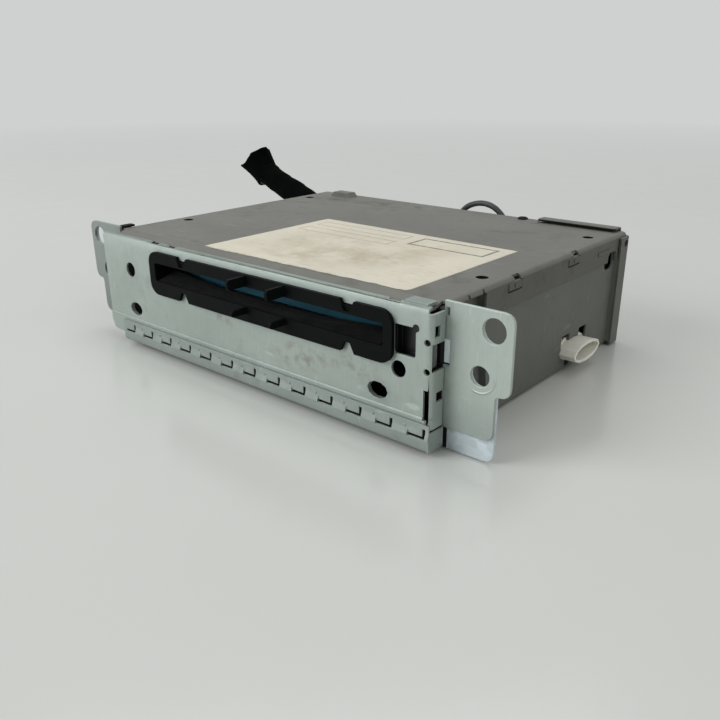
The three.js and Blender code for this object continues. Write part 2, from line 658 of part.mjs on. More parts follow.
// Openings through the plate's face, all cut from y0 to y1
function faceOpenings(y0, y1) {
  const windowRight = halfWidth - sideWindow.rightIn;
  const windowShape = roundedRect(
    halfWidth - sideWindow.leftIn, windowRight, sideWindow.lowZ, sideWindow.highZ, sideWindow.corner,
  );
  return [
    lowerLeftCorner(),
    block(
      slotShape.left - bezel.wall - gap, slotShape.right + bezel.wall + gap, y0, y1,
      slotShape.lowZ - bezel.wall - gap, slotShape.highZ + bezel.wall + gap,
    ),
    prism(windowShape, 'y', y0, y1),
    cylinder('y', sideWindow.relief, y0, y1, windowRight, sideWindow.highZ, 12),
    cylinder('y', plateHole.leftRadius, y0, y1, leftHoleX, plateHole.leftZ, 18),
    cylinder('y', plateHole.rightRadius, y0, y1, rightHoleX, plateHole.rightZ, 16),
    ...drawnHoleXs.map((x) => prism(
      ellipse(x, drawnHole.z, drawnHole.halfLength, drawnHole.halfHeight), 'y', y0, y1 + overrun, 5,
    )),
  ];
}

// Slots and notches in the plate's right-hand fold and return
function returnOpenings(y0, y1) {
  const edgeX = halfWidth + overrun;
  const inner = halfWidth - overrun * 2;
  const end = frameFront + overrun;
  const reliefX = halfWidth - clipWindow.reliefIn;
  const slotEnd = halfWidth - foldSlot.sideIn;
  return [
    block(
      inner, edgeX, front + plateReturn.holeY, front + plateReturn.holeY + plateReturn.holeDepth,
      plateReturn.holeZ, plateReturn.holeZ + plateReturn.holeHeight,
    ),
    block(
      halfWidth - clipWindow.sideIn, edgeX, front + clipWindow.startY, end, clipWindow.lowZ, clipWindow.highZ,
    ),
    ...[clipWindow.lowZ, clipWindow.highZ + clipWindow.relief / 2].map(
      (z) => cylinder('y', clipWindow.relief, y0, y1, reliefX, z, 14),
    ),
    block(slotEnd - foldSlot.width, slotEnd, y0, y1, foldSlot.lowZ, foldSlot.highZ),
    block(
      inner, edgeX, frameFront - gap - returnNotch.depth, end, returnNotch.lowZ, returnNotch.highZ,
    ),
  ];
}

function frontPlate() {
  const y0 = front - overrun;
  const y1 = front + overrun * 3;
  const flangeEnd = front + plate.creaseStep + plate.flange;
  const { depth, firstX, secondX, rightIn, width, secondWidth } = topNotch;
  const notches = [[firstX, width], [secondX, secondWidth], [halfWidth - rightIn, width]].map(
    ([x, wide]) => block(x, x + wide, flangeEnd - depth, flangeEnd + overrun, top - overrun * 2, top),
  );
  const sheet = join(plateSheet(), plateReturnFold(), raisedTab(), ...drawnHoleXs.map((x) => collar(x)));
  return cut(sheet, ...faceOpenings(y0, y1), ...returnOpenings(y0, y1), ...notches);
}

// Contact rail: a springy strip under the plate with a row of slits and fingers that slope outwards
function contactRail() {
  const left = -halfWidth + rail.leftIn;
  const right = halfWidth + rail.rightOut;
  const skin = front - gap - rail.thickness;
  const section = folded([
    [skin, rail.highZ], [skin, rail.lowZ], [front + rail.foot, rail.lowZ],
  ], rail.thickness, rail.bend, 3);
  const cap = block(right - rail.thickness, right, skin, front + rail.capEndY, rail.lowZ, rail.capTop);
  const count = Math.ceil((right - left - finger.startIn - finger.window / 2) / finger.pitch);
  let strip = prism(section, 'x', left, right);
  for (let i = 0; i < count; i += 1) {
    const start = left + finger.startIn - finger.window / 2 + i * finger.pitch;
    const end = start + finger.window;
    strip = cut(
      strip,
      block(start, end, skin - overrun, front, finger.lowZ, finger.slotTop),
      block(end - finger.slit, end, skin - overrun, front, finger.lowZ, finger.windowTop),
    );
    strip = join(strip, ...railFinger(end, Math.min(start + finger.pitch, right), skin));
  }
  return join(strip, cap);
}

function railFinger(x0, x1, skin) {
  const root = skin + rail.thickness / 2;
  const slope = prism([
    [root, finger.lowZ], [skin - finger.proud, finger.lowZ], [skin - finger.proud, finger.lowZ + finger.proud],
    [skin, finger.highZ], [root, finger.highZ],
  ], 'x', x0, x1);
  const dimpleX = (x0 + x1) / 2 + fingerDimple.offset;
  if (dimpleX > x1) return [slope];
  const dimple = cylinder(
    'y', fingerDimple.radius, skin - fingerDimple.proud, root, dimpleX, fingerDimple.z, 6,
  );
  return [slope, dimple];
}

// Mounting frame: a cross sheet behind the front plate whose ends are the fixing ears
function earOutline(side) {
  const outline = new THREE.Shape();
  const edge = earReach;
  const stepX = edge - ear.stepIn;
  const footX = stepX - ear.stepFillet;
  const corner = ear.corner;
  const at = (x, z) => [side * x, z];
  outline.moveTo(...at(earWaist, ear.lowZ));
  outline.lineTo(...at(footX - corner, ear.lowZ));
  outline.quadraticCurveTo(...at(footX, ear.lowZ), ...at(footX, ear.lowZ + corner));
  outline.lineTo(...at(footX, ear.stepZ - ear.stepFillet));
  outline.quadraticCurveTo(...at(footX, ear.stepZ), ...at(stepX, ear.stepZ));
  outline.quadraticCurveTo(...at(edge, ear.stepZ), ...at(edge, ear.stepZ + ear.stepIn));
  outline.lineTo(...at(edge, frame.topZ - corner));
  outline.quadraticCurveTo(...at(edge, frame.topZ), ...at(edge - corner, frame.topZ));
  outline.lineTo(...at(earWaist, frame.topZ));
  return outline;
}

function earHoleTools(side, extra, y0, y1) {
  const upper = [side * (earReach - earHole.upperIn), frame.topZ - earHole.upperDown];
  const lower = [side * (earReach - earHole.lowerIn), frame.topZ - earHole.lowerDown];
  return [
    cylinder('y', earHole.upperRadius + extra, y0, y1, ...upper, 20),
    cylinder('y', earHole.lowerRadius + extra, y0, y1, ...lower, 18),
  ];
}

function clipOpening(y0, y1) {
  return block(
    halfWidth - frame.openRightIn - overrun, halfWidth + clipWindow.earOut, y0, y1,
    clipWindow.lowZ + clipWindow.earRise, clipWindow.highZ + clipWindow.earRise / 2,
  );
}

function mountingFrame() {
  const y0 = frameFront - overrun;
  const y1 = frameBack + overrun;
  const barTop = top - cover.lipDrop - steel.thickness - gap;
  const bar = block(-earWaist, earWaist, frameFront, frameBack, ear.lowZ, barTop);
  const ears = sidePair.map((side) => cut(
    prism(earOutline(side), 'y', frameFront, frameBack, 4), ...earHoleTools(side, 0, y0, y1),
  ));
  const opening = roundedRect(
    -halfWidth + frame.openLeftIn, halfWidth - frame.openRightIn,
    frame.openLow, slotShape.highZ + bezel.wall + gap, bezel.corner / 2,
  );
  const reliefX = halfWidth - earRelief.sideIn;
  const reliefZ = frame.topZ - earRelief.down;
  return cut(
    join(bar, ...ears),
    prism(opening, 'y', y0, y1),
    clipOpening(y0, y1),
    block(reliefX, reliefX + earRelief.width, y0, y1, reliefZ, reliefZ + earRelief.height),
    cylinder('y', plateHole.room, y0, y1, leftHoleX, plateHole.leftZ, 20),
    ...drawnHoleXs.map((x) => cylinder('y', drawnHole.room, y0, y1, x, drawnHole.z, 20)),
  );
}

// Side bracket: a second ear behind the frame's, folded back along the recessed wall
const bracketLow = (side) => (side > 0 ? bracket.lowRight : bracket.lowLeft);

function bracketOutline(side) {
  const outline = new THREE.Shape();
  const footX = earReach - ear.stepIn - ear.stepFillet;
  const edge = earReach - overrun;
  const inner = recessX + gap;
  const low = bracketLow(side);
  const high = frame.topZ - overrun;
  const at = (x, z) => [side * x, z];
  outline.moveTo(...at(inner, low));
  outline.lineTo(...at(footX - bracket.corner, low));
  outline.quadraticCurveTo(...at(footX, low), ...at(footX, low + bracket.corner));
  outline.lineTo(...at(footX, ear.stepZ + ear.corner));
  outline.lineTo(...at(edge, ear.stepZ + ear.corner * 2));
  outline.lineTo(...at(edge, frame.topZ - ear.corner));
  outline.quadraticCurveTo(...at(edge, high), ...at(earReach - ear.corner, high));
  outline.lineTo(...at(halfWidth + steel.thickness, high));
  outline.lineTo(...at(halfWidth + steel.thickness, bracket.armHigh));
  outline.lineTo(...at(inner, bracket.armHigh));
  return outline;
}

function sideBracket(side) {
  const y0 = bracketFront - overrun;
  const y1 = bracketBack + overrun;
  const web = cut(
    prism(bracketOutline(side), 'y', bracketFront, bracketBack, 4),
    ...earHoleTools(side, bracket.holeSlack, y0, y1),
    clipOpening(y0, y1),
  );
  const faces = [side * (recessX + gap), side * (recessX + gap + bracket.thickness)];
  const x0 = Math.min(...faces);
  const x1 = Math.max(...faces);
  const low = bracketLow(side);
  const arm = roundedRect(
    y0, bracketFront + bracket.arm, low + bracket.armRise, bracket.armHigh, bracket.corner / 2,
  );
  const inFrontOf = block(x0 - overrun, x1 + overrun, y0 - overrun, bracketFront, 0, top);
  const heads = [low + bracketRivet.rise, bracketRivet.highZ].map((z) => cylinder(
    'x', bracketRivet.radius, side > 0 ? x0 : x0 - bracketRivet.head,
    side > 0 ? x1 + bracketRivet.head : x1, front + bracketRivet.y, z, 12,
  ));
  return join(web, cut(prism(arm, 'x', x0, x1), inFrontOf), ...heads);
}

// Slot bezel: a black moulding with a proud rim, a long mouth, thin ribs and a duct behind the plate
function slotMouth() {
  const { left, right, lowZ, mouthHigh, corner } = slotShape;
  return roundedRect(left, right, lowZ, mouthHigh, corner);
}

function bezelRib(x, { lowZ, highZ, reach }) {
  const root = front - bezel.proud;
  const tip = root - reach;
  return prism([
    [root + overrun / 2, lowZ], [tip + rib.chamfer, lowZ], [tip, lowZ + rib.chamfer],
    [tip, highZ - rib.chamfer], [tip + rib.chamfer, highZ], [root + overrun / 2, highZ],
  ], 'x', x - rib.thickness / 2, x + rib.thickness / 2);
}

function slotBezel() {
  const y0 = front - bezel.proud;
  const ductEnd = front + bezel.ductEnd;
  const rim = cut(
    prism(bezelOutline(), 'y', y0, front + plate.creaseStep - gap, 3),
    ...notchTools(y0 - overrun, front + overrun),
  );
  const ductLeft = slotShape.left - bezel.wall;
  const ductRight = slotShape.right + bezel.wall;
  const ductHigh = slotShape.highZ + bezel.wall;
  const duct = block(ductLeft, ductRight, front - gap, ductEnd, slotShape.lowZ - bezel.wall, ductHigh);
  const cavity = block(
    slotShape.left, slotShape.right, front + slotShape.cavityY, ductEnd + overrun,
    slotShape.lowZ, slotShape.highZ,
  );
  const hinge = { y: front + shutter.hingeY, z: shutter.hingeZ, half: shutter.lugHalf };
  const lugs = [ductLeft, ductRight - shutter.lug].flatMap((x) => [
    block(
      x, x + shutter.lug, ductEnd - overrun, hinge.y + hinge.half, hinge.z - hinge.half, hinge.z + hinge.half,
    ),
    block(
      x, x + shutter.lug, frameBack + gap, ductEnd + overrun, ductHigh - bezel.wall, hinge.z + hinge.half,
    ),
  ]);
  const ribs = [rib.leftX, rib.rightX].flatMap((x) => [bezelRib(x, upperRib), bezelRib(x, lowerRib)]);
  return cut(
    join(rim, duct, ...lugs, ...ribs),
    prism(slotMouth(), 'y', y0 - overrun, ductEnd),
    cavity,
    cylinder('x', shutter.bore, ductLeft - overrun, ductRight + overrun, hinge.y, hinge.z, 10),
  );
}

// Felt wipers glued above and below the slot: thin in the middle, thicker inwards and to the ends
function feltWiper(low) {
  const wall = low ? slotShape.lowZ : slotShape.highZ;
  const { startY, middle, end } = low ? lowerFelt : upperFelt;
  const left = slotShape.left + felt.side;
  const right = slotShape.right - felt.side;
  const y0 = front + startY;
  const y1 = front + felt.endY;
  const arch = Array.from({ length: felt.steps + 1 }, (_, i) => {
    const share = i / felt.steps * 2 - 1;
    return [(left + right + (right - left) * share) / 2, wall + middle + (end - middle) * share ** 2];
  });
  const bow = prism([[left, wall], ...arch, [right, wall]], 'y', y0, y1);
  const ramp = prism([[y0, wall], [y0, wall + middle], [y1, wall + end], [y1, wall]], 'x', left, right);
  return bow.intersect(ramp);
}

// Dust shutter: a glossy flap hung behind the slot, pushed inwards by the disc
function dustShutter() {
  const left = slotShape.left + shutter.lug + gap;
  const right = slotShape.right - shutter.lug - gap;
  const y = front + shutter.hingeY;
  const half = shutter.thickness / 2;
  const flap = roundedRect(left, right, shutter.hingeZ - shutter.drop, shutter.hingeZ, shutter.thickness);
  const pinLeft = slotShape.left - bezel.wall + gap;
  const pinRight = slotShape.right + bezel.wall - gap;
  return join(
    prism(flap, 'y', y - half, y + half),
    cylinder('x', shutter.pin, pinLeft, pinRight, y, shutter.hingeZ, 10),
  );
}

// Dark guide block seen through the window right of the slot
function windowGuide() {
  const { lowZ, highZ, wall } = windowBlock;
  const left = halfWidth - windowBlock.leftIn;
  const right = halfWidth - windowBlock.rightIn;
  const y0 = front + plate.creaseStep + steel.thickness + gap;
  const box = block(left, right, y0, frameFront - gap, lowZ, highZ);
  const pocket = block(
    left + wall, right - wall, y0 - overrun, y0 + windowBlock.pocket, lowZ + wall, highZ - wall,
  );
  return cut(box, pocket);
}

// Spring clip in the window of the plate's return
function springClip() {
  const x = halfWidth - steel.thickness - gap;
  const footY = front + clip.footY;
  const section = folded([
    [x, front + clip.startY], [x, footY], [x - clip.reach, footY],
  ], clip.thickness, clip.bend, 3);
  return prism(section, 'z', clip.lowZ, clip.highZ);
}

// Oval plastic sleeve snapped into the right wall
function sideSleeve() {
  const inner = wallX - steel.thickness;
  const start = inner - sleeve.inside;
  const end = wallX + sleeve.reach;
  const tube = prism(sleeveOutline(0), 'x', start, end, 6);
  const bore = prism(sleeveOutline(-sleeve.wall), 'x', start - overrun, end + overrun, 6);
  const lip = prism(sleeveOutline(sleeve.lip), 'x', inner - gap - sleeve.lip, inner - gap, 6);
  return cut(join(tube, lip), bore);
}

// Rear plate: closes the tub, wraps both sides and carries the fan grille and the connectors
function grilleSectors(y0, y1) {
  const radius = fan.bore - overrun;
  const hub = cylinder('y', fan.hub, y0 - overrun, y1 + overrun, fanX, fanZ, 16);
  const ring = cut(cylinder('y', radius, y0, y1, fanX, fanZ, 24), hub);
  const half = fan.strut / 2;
  const span = radius + overrun;
  return cut(
    ring,
    block(fanX - span, fanX + span, y0 - overrun, y1 + overrun, fanZ - half, fanZ + half),
    block(fanX - half, fanX + half, y0 - overrun, y1 + overrun, fanZ - span, fanZ + span),
  );
}

function rearPlate() {
  const edge = halfWidth + gap + steel.thickness;
  const section = folded([
    [edge, back - rear.flange], [edge, back], [-edge, back], [-edge, back - rear.flange],
  ], steel.thickness, steel.bend);
  const faces = [back - steel.thickness - overrun, back + overrun];
  const aerialRoom = aerial.size / 2 + gap;
  const aerialHoles = aerialPlaces().map((x) => block(
    x - aerialRoom, x + aerialRoom, ...faces, aerial.z - aerialRoom, aerial.z + aerialRoom,
  ));
  const headerHole = block(
    header.left - gap, header.right + gap, ...faces, boardTop + gap, boardTop + gap * 3 + header.height,
  );
  const roofZ = top + steel.thickness + rear.lift;
  const roof = folded([
    [back, top - overrun * 3], [back, roofZ], [back - rear.topFlange, roofZ],
  ], steel.thickness, steel.bend);
  const sideHole = cylinder(
    'x', tub.holeRadius, -edge - overrun, edge + overrun, back - rear.holeIn, rear.holeZ, 12,
  );
  return cut(
    join(
      prism(section, 'z', steel.thickness / 2, rear.lowTop),
      prism(roof, 'x', halfWidth - rear.topLeftIn, halfWidth - rear.topRightIn),
    ),
    ...aerialHoles, headerHole, grilleSectors(...faces), sideHole,
  );
}

// Board screw with a plain recess in its head
function boardScrew([x, y]) {
  const { shank, length, head, headHeight, recess, recessDepth } = screwSize;
  const over = boardTop + headHeight;
  return cut(
    join(
      cylinder('z', shank, boardTop - length, boardTop + gap, x, y, 8),
      cylinder('z', head, boardTop, over, x, y, 14),
    ),
    cylinder('z', recess, over - recessDepth, over + overrun, x, y, 6),
  );
}

// Main circuit board with its raised parts in one piece
function mainBoard() {
  const y0 = front + board.startY;
  const slab = block(board.left, board.right, y0, boardBack, boardZ, boardTop);
  const { large, middle, small, tall } = chip;
  const rise = boardTop + chip.height;
  const chips = [
    [board.left + large, y0 + large, large, rise],
    [board.left + large * 2, y0 + large, middle, rise],
    [board.left + large * 3, y0 + middle, small, rise],
    [board.left + middle, y0 + large * 3, middle, rise],
    [board.left + large * 2, y0 + large * 3, small, boardTop + tall],
    [board.right - large, y0 + middle, middle, rise],
    [board.right - middle, y0 + large * 2, small, boardTop + tall],
  ].map(([x, y, size, high]) => block(
    x - size / 2, x + size / 2, y - size / 2, y + size / 2, boardTop - gap, high,
  ));
  const holes = boardSpots().map(([x, y]) => cylinder(
    'z', screwSize.shank + gap, boardZ - overrun, boardTop + overrun, x, y, 8,
  ));
  return cut(join(slab, ...chips), ...holes);
}

function heatSpreader() {
  const x0 = disc.centreX - spreader.width / 2;
  const y0 = spindleY - spreader.depth / 2;
  const z0 = boardTop;
  const z1 = z0 + spreader.base;
  const base = block(x0, x0 + spreader.width, y0, y0 + spreader.depth, z0, z1);
  const pitch = spreader.width / (spreader.fins - spreader.share);
  const finTop = z1 + spreader.finHeight;
  const fins = Array.from({ length: spreader.fins }, (_, i) => block(
    x0 + i * pitch, x0 + (i + spreader.share) * pitch, y0, y0 + spreader.depth, z1 - gap, finTop,
  ));
  return join(base, ...fins);
}

function tunerModule() {
  const x0 = tunerCan.x - tunerCan.width / 2;
  const y1 = boardBack - tunerCan.inY;
  const can = block(x0, x0 + tunerCan.width, y1 - tunerCan.depth, y1, boardTop, boardTop + tunerCan.height);
  const groove = tunerCan.wall;
  const grooves = [1 / 3, 2 / 3].map((share) => block(
    x0 + tunerCan.width * share - groove, x0 + tunerCan.width * share + groove,
    y1 - tunerCan.depth + groove * 2, y1 - groove * 2,
    boardTop + tunerCan.height - groove, boardTop + tunerCan.height + overrun,
  ));
  return cut(can, ...grooves);
}

// Main header: an open socket with rows of pins, and the plug that stands in it
function headerBox() {
  return { z0: boardTop, z1: boardTop + header.height, y0: back - header.inside, y1: back + header.proud };
}

function mainHeader() {
  const { z0, z1, y0, y1 } = headerBox();
  const shell = block(header.left, header.right, y0, y1, z0 + gap * 2, z1);
  const cavity = block(
    header.left + header.wall, header.right - header.wall, y0 + header.floor, y1 + overrun,
    z0 + gap * 2 + header.wall, z1 - header.wall,
  );
  const pitch = (header.right - header.left) / (header.pins + 1);
  const pins = [1 / 3, 2 / 3].flatMap((share) => Array.from({ length: header.pins }, (_, i) => {
    const x = header.left + (i + 1) * pitch;
    const z = z0 + header.height * share;
    const half = header.pinSize / 2;
    const root = y0 + header.floor;
    return block(x - half, x + half, root - overrun, root + header.pinReach, z - half, z + half);
  }));
  const foot = block(header.left, header.right, y0, boardBack, z0, z0 + gap * 3);
  return join(cut(shell, cavity), foot, ...pins);
}

function harnessPlugBody() {
  const { z0, z1, y1 } = headerBox();
  const inset = header.wall + gap;
  const nose = block(
    header.left + inset, header.right - inset, y1 - harnessPlug.inside, y1 + gap,
    z0 + gap * 2 + inset, z1 - inset,
  );
  const hood = roundedRect(header.left, header.right, z0, z1, harnessPlug.lever);
  const shell = prism(hood, 'y', y1 + gap, y1 + harnessPlug.reach);
  const lever = block(
    header.left - harnessPlug.lever, header.right + harnessPlug.lever,
    y1 + gap, y1 + harnessPlug.leverReach / 2, z1 - harnessPlug.leverReach, z1 - harnessPlug.lever,
  );
  const outlet = cylinder(
    'x', harnessPlug.outletRadius, header.left - harnessPlug.outlet, header.left + overrun,
    back + harnessPlug.outletOut, harnessPlug.outletZ, 20,
  );
  return join(nose, shell, lever, outlet);
}

// Aerial sockets and the plugs of the jumper lead
const aerialPlaces = () => [0, 1, 2].map((i) => aerial.firstX + i * aerial.spacing);

function aerialSocket(x) {
  const half = aerial.size / 2;
  const y0 = back - aerial.inside;
  const y1 = back + aerial.proud;
  const housing = block(x - half, x + half, y0, y1, aerial.z - half, aerial.z + half);
  const leg = block(x - half / 2, x + half / 2, y0 - aerial.base, y0 + aerial.base, boardTop, aerial.z);
  const seat = block(x - half / 2, x + half / 2, y0 - aerial.base * 3, y0, boardTop, boardTop + aerial.base);
  const bore = cylinder('y', aerial.bore, y0 + aerial.base, y1 + overrun, x, aerial.z, 14);
  const pin = cylinder('y', aerial.pin, y0 + overrun, y1 - aerial.proud, x, aerial.z, 6);
  return join(cut(join(housing, leg, seat), bore), pin);
}

function aerialPlugBody(x) {
  const half = aerialPlug.size / 2;
  const y0 = back + aerial.proud + gap;
  const nose = cut(
    cylinder('y', aerial.bore - gap, y0 - aerialPlug.nose, y0 + overrun, x, aerial.z, 14),
    cylinder('y', aerial.pin + gap, y0 - aerialPlug.nose - overrun, y0, x, aerial.z, 8),
  );
  const bodyPart = roundedRect(x - half, x + half, aerial.z - half, aerial.z + half, half / 3);
  const neck = cylinder(
    'z', half * 0.7, aerial.z, aerial.z + aerialPlug.height, x, y0 + aerialPlug.reach / 2, 10,
  );
  return join(nose, prism(bodyPart, 'y', y0, y0 + aerialPlug.reach), neck);
}

// Cords: routes chosen by hand, as shares of each cord's reach from the mouth of the plug it leaves
const harnessShares = [
  [0, 0, 0], [-0.065, 0, 0], [-0.173, -0.004, 0.032], [-0.302, -0.009, 0.091], [-0.453, -0.013, 0.157],
  [-0.604, -0.015, 0.222], [-0.73, -0.018, 0.273], [-0.849, -0.023, 0.326], [-0.935, -0.026, 0.378],
  [-1, -0.026, 0.448],
];
const jumperShares = [
  [0, 0, 0], [0, 0, 0.123], [0.02, -0.017, 0.257], [0.1, -0.043, 0.39], [0.233, -0.067, 0.503],
  [0.4, -0.077, 0.57], [0.567, -0.077, 0.587], [0.733, -0.067, 0.543], [0.867, -0.043, 0.437],
  [0.96, -0.017, 0.29], [1, 0, 0.14], [1, 0, 0],
];

function routeFrom(start, shares, reach) {
  return shares.map((share) => new THREE.Vector3(...share).multiplyScalar(reach).add(start));
}

function harnessRoute() {
  const x = header.left - harnessPlug.outlet - gap;
  const start = new THREE.Vector3(x, back + harnessPlug.outletOut, harnessPlug.outletZ);
  return routeFrom(start, harnessShares, harnessCord.reach);
}

function jumperRoute() {
  const y = back + aerial.proud + gap + aerialPlug.reach / 2;
  const start = new THREE.Vector3(aerial.firstX, y, aerial.z + aerialPlug.height + gap);
  return routeFrom(start, jumperShares, aerial.spacing * 2);
}

function cordTube(route, { diameter, sides, steps }) {
  const curve = new THREE.CatmullRomCurve3(route, false, 'centripetal');
  const section = new THREE.Shape(Array.from({ length: sides }, (_, i) => {
    const angle = i / sides * Math.PI * 2;
    return new THREE.Vector2(diameter / 2 * Math.cos(angle), diameter / 2 * Math.sin(angle));
  }));
  return solid(new THREE.ExtrudeGeometry(section, { steps, bevelEnabled: false, extrudePath: curve }));
}

// The taped harness, which widens at its far end
function harness() {
  const route = harnessRoute();
  const end = route[route.length - 1];
  const along = end.clone().sub(route[route.length - 2]).normalize();
  const { diameter, flareRadius, flareLength } = harnessCord;
  const cone = new THREE.CylinderGeometry(flareRadius, diameter / 2, flareLength, 20);
  cone.translate(0, -flareLength / 2, 0);
  cone.applyQuaternion(new THREE.Quaternion().setFromUnitVectors(alongY, along));
  cone.translate(end.x, end.y, end.z);
  return join(cordTube(route, harnessCord), solid(cone));
}

// Cooling fan behind the grille
function fanFrame() {
  const y1 = back - steel.thickness - gap;
  const y0 = y1 - fan.depth;
  const half = fan.size / 2;
  const strut = fan.strut / 2;
  const span = fan.bore + overrun;
  const ring = cut(
    prism(roundedRect(fanX - half, fanX + half, fanZ - half, fanZ + half, fan.strut), 'y', y0, y1),
    cylinder('y', fan.bore, y0 - overrun, y1 + overrun, fanX, fanZ, 32),
  );
  const struts = [
    block(fanX - span, fanX + span, y0, y0 + strut, fanZ - strut, fanZ + strut),
    block(fanX - strut, fanX + strut, y0, y0 + strut, fanZ - span, fanZ + span),
  ];
  const seat = cylinder('y', fan.hub * 0.8, y0, y0 + strut, fanX, fanZ, 16);
  const pin = cylinder('y', fanPin.radius, y0, y1 - fanPin.end, fanX, fanZ, 8);
  return join(ring, ...struts, seat, pin);
}

function fanRotor() {
  const y1 = back - steel.thickness - gap * 3;
  const y0 = y1 - fan.depth + fan.strut;
  const hub = cylinder('y', fan.hub, y0, y1, fanX, fanZ, 20);
  const blades = Array.from({ length: fan.blades }, (_, i) => {
    const blade = new THREE.BoxGeometry(fan.tip - fan.hub / 2, y1 - y0, fan.blade);
    blade.rotateX(fan.pitchAngle);
    blade.translate((fan.tip + fan.hub / 2) / 2, 0, 0);
    blade.rotateY(i / fan.blades * Math.PI * 2);
    blade.translate(fanX, (y0 + y1) / 2, fanZ);
    return solid(blade);
  });
  const envelope = cylinder('y', fan.tip, y0, y1, fanX, fanZ, 28);
  const bore = cylinder('y', fanPin.bore, y0 - overrun, y1 - fanPin.end + gap * 3, fanX, fanZ, 8);
  return cut(join(hub, ...blades).intersect(envelope), bore);
}

// Drive deck: floor and side walls in one sheet, with tabs that hang it on four dampers
const idlerY = roller.y + Math.sqrt(gearDistance(gear.rollerTeeth, gear.idlerTeeth) ** 2 - idlerDrop ** 2);
const idlerZ = roller.z - idlerDrop;
const wheelY = idlerY + gearDistance(gear.idlerTeeth, gear.pinionTeeth);
const wormZ = idlerZ - gear.module * gear.wheelTeeth / 2 - gear.module - wormSize.radius - wormSize.tipGap;
const wheelX = gearX + gear.thickness + overrun;
const wormX = wheelX + gear.thickness / 2;

function gearDistance(teethA, teethB) {
  return gear.module * (teethA + teethB) / 2 + gear.backlash;
}

function shellOf(y0, y1) {
  const section = folded([
    [deck.left, deck.wallTop], [deck.left, deck.z], [deck.right, deck.z], [deck.right, deck.wallTop],
  ], deck.thickness, deck.bend);
  return prism(section, 'y', front + y0, front + y1);
}

function damperTabs() {
  const half = damperTab.half;
  return damperPlaces().map(([x, y]) => {
    const inner = x < 0 ? wallLeft + deck.bend : wallRight - deck.bend;
    const tab = block(
      Math.min(x - (x < 0 ? half : 0), inner), Math.max(x + (x < 0 ? 0 : half), inner),
      y - half / 2, y + half / 2, deck.z, deckTop,
    );
    const stud = cylinder('z', damper.stud, damper.high - damper.studDrop, deckTop, x, y, 12);
    return join(tab, cylinder('z', half, deck.z, deckTop, x, y, 12), stud);
  });
}

function driveDeckCuts() {
  const through = [deck.z - overrun, deckTop + overrun];
  const leftWall = [deck.left - overrun, wallLeft + overrun];
  const rightWall = [wallRight - overrun, deck.right + overrun];
  const across = [deck.left - overrun, deck.right + overrun];
  const room = liftPin.radius + gap;
  const leverTop = lever.z + lever.thickness;
  return [
    // front corners of the walls and the spindle hole
    block(
      ...across, front + deck.startY - overrun, front + deck.startY + deck.notchDepth,
      deck.notchZ, deck.wallTop + overrun,
    ),
    cylinder('z', spindle.motor + gap, ...through, disc.centreX, spindleY, 24),
    // bearings of the roller shaft in both walls, and room for the right disc lever
    cylinder('x', roller.shaft + runningGap, ...across, front + roller.y, roller.z, 12),
    block(
      ...rightWall, front + roller.y + roller.endRadius, front + lever.pivotY - lever.width / 2,
      leverTop - leverPin.drop - overrun, leverTop + leverPin.room,
    ),
    // upright slots for the lift pins and an open notch for the clamp arm's rod in the left wall
    ...[liftPin.frontY, liftPin.rearY].map((y) => block(
      ...leftWall, front + y - room, front + y + room, liftPin.z - room, liftPin.z + traverse.lift + room,
    )),
    block(
      ...leftWall, front + clampRod.y - clampRod.radius * 2, front + clampRod.y + clampRod.radius * 2,
      armZ() - clampRod.radius * 3, deck.wallTop + overrun,
    ),
  ];
}

function driveDeck() {
  const shell = cut(join(shellOf(deck.startY, deck.endY), ...damperTabs()), ...driveDeckCuts());
  const stubRoot = deck.right - overrun;
  const stubs = [
    cylinder('x', roller.shaft, stubRoot, gearX + gear.thickness + gap, front + idlerY, idlerZ, 12),
    cylinder('x', roller.shaft, stubRoot, wheelX + gear.thickness + gap, front + wheelY, idlerZ, 12),
  ];
  const studEnd = slideOuter() - gap;
  const studs = [guideStud.firstY, guideStud.secondY].flatMap((y) => [
    cylinder('x', guideStud.radius, studEnd, wallLeft - gap, front + y, guideStud.z, 10),
    cylinder('x', guideStud.head, studEnd - guideStud.headThickness, studEnd, front + y, guideStud.z, 12),
  ]);
  const { radius, head, headZ, headHeight } = liftStud;
  const liftGuides = [liftStud.frontY, liftStud.rearY].flatMap((y) => [
    cylinder('z', radius, deckTop - gap, headZ, liftStud.x, front + y, 10),
    cylinder('z', head, headZ, headZ + headHeight, liftStud.x, front + y, 12),
  ]);
  const outriggerY = front + loadMotor.startY;
  const outrigger = block(
    deck.right - deck.bend, wormX + motorRadius(), outriggerY, outriggerY + loadMotor.length, deck.z, deckTop,
  );
  return join(shell, ...stubs, ...studs, ...liftGuides, outrigger);
}

const motorRadius = () => deck.z - gap - wormZ;
const slideOuter = () => deck.left - gap - camSlide.thickness;
const armZ = () => deck.wallTop - clampArm.drop;

// Loading train on the right of the deck: roller gear, idler, compound wheel, worm and motor
const rollerPhase = Math.atan2(-idlerDrop, idlerY - roller.y);

function rollerGear() {
  const y = front + roller.y;
  const wheel = spurGear(gear.rollerTeeth, rollerPhase, gearX, gearX + gear.thickness, y, roller.z);
  const bore = cylinder('x', gear.bore, gearX - overrun, gearX + gear.thickness + overrun, y, roller.z, 12);
  return cut(wheel, bore);
}

const idlerPhase = rollerPhase + Math.PI + Math.PI / gear.idlerTeeth;

function idlerGear() {
  const y = front + idlerY;
  const wheel = spurGear(gear.idlerTeeth, idlerPhase, gearX, gearX + gear.thickness, y, idlerZ);
  const gearEnd = gearX + gear.thickness;
  const bore = cylinder('x', roller.shaft + runningGap, gearX - overrun, gearEnd + overrun, y, idlerZ, 12);
  return cut(wheel, bore);
}

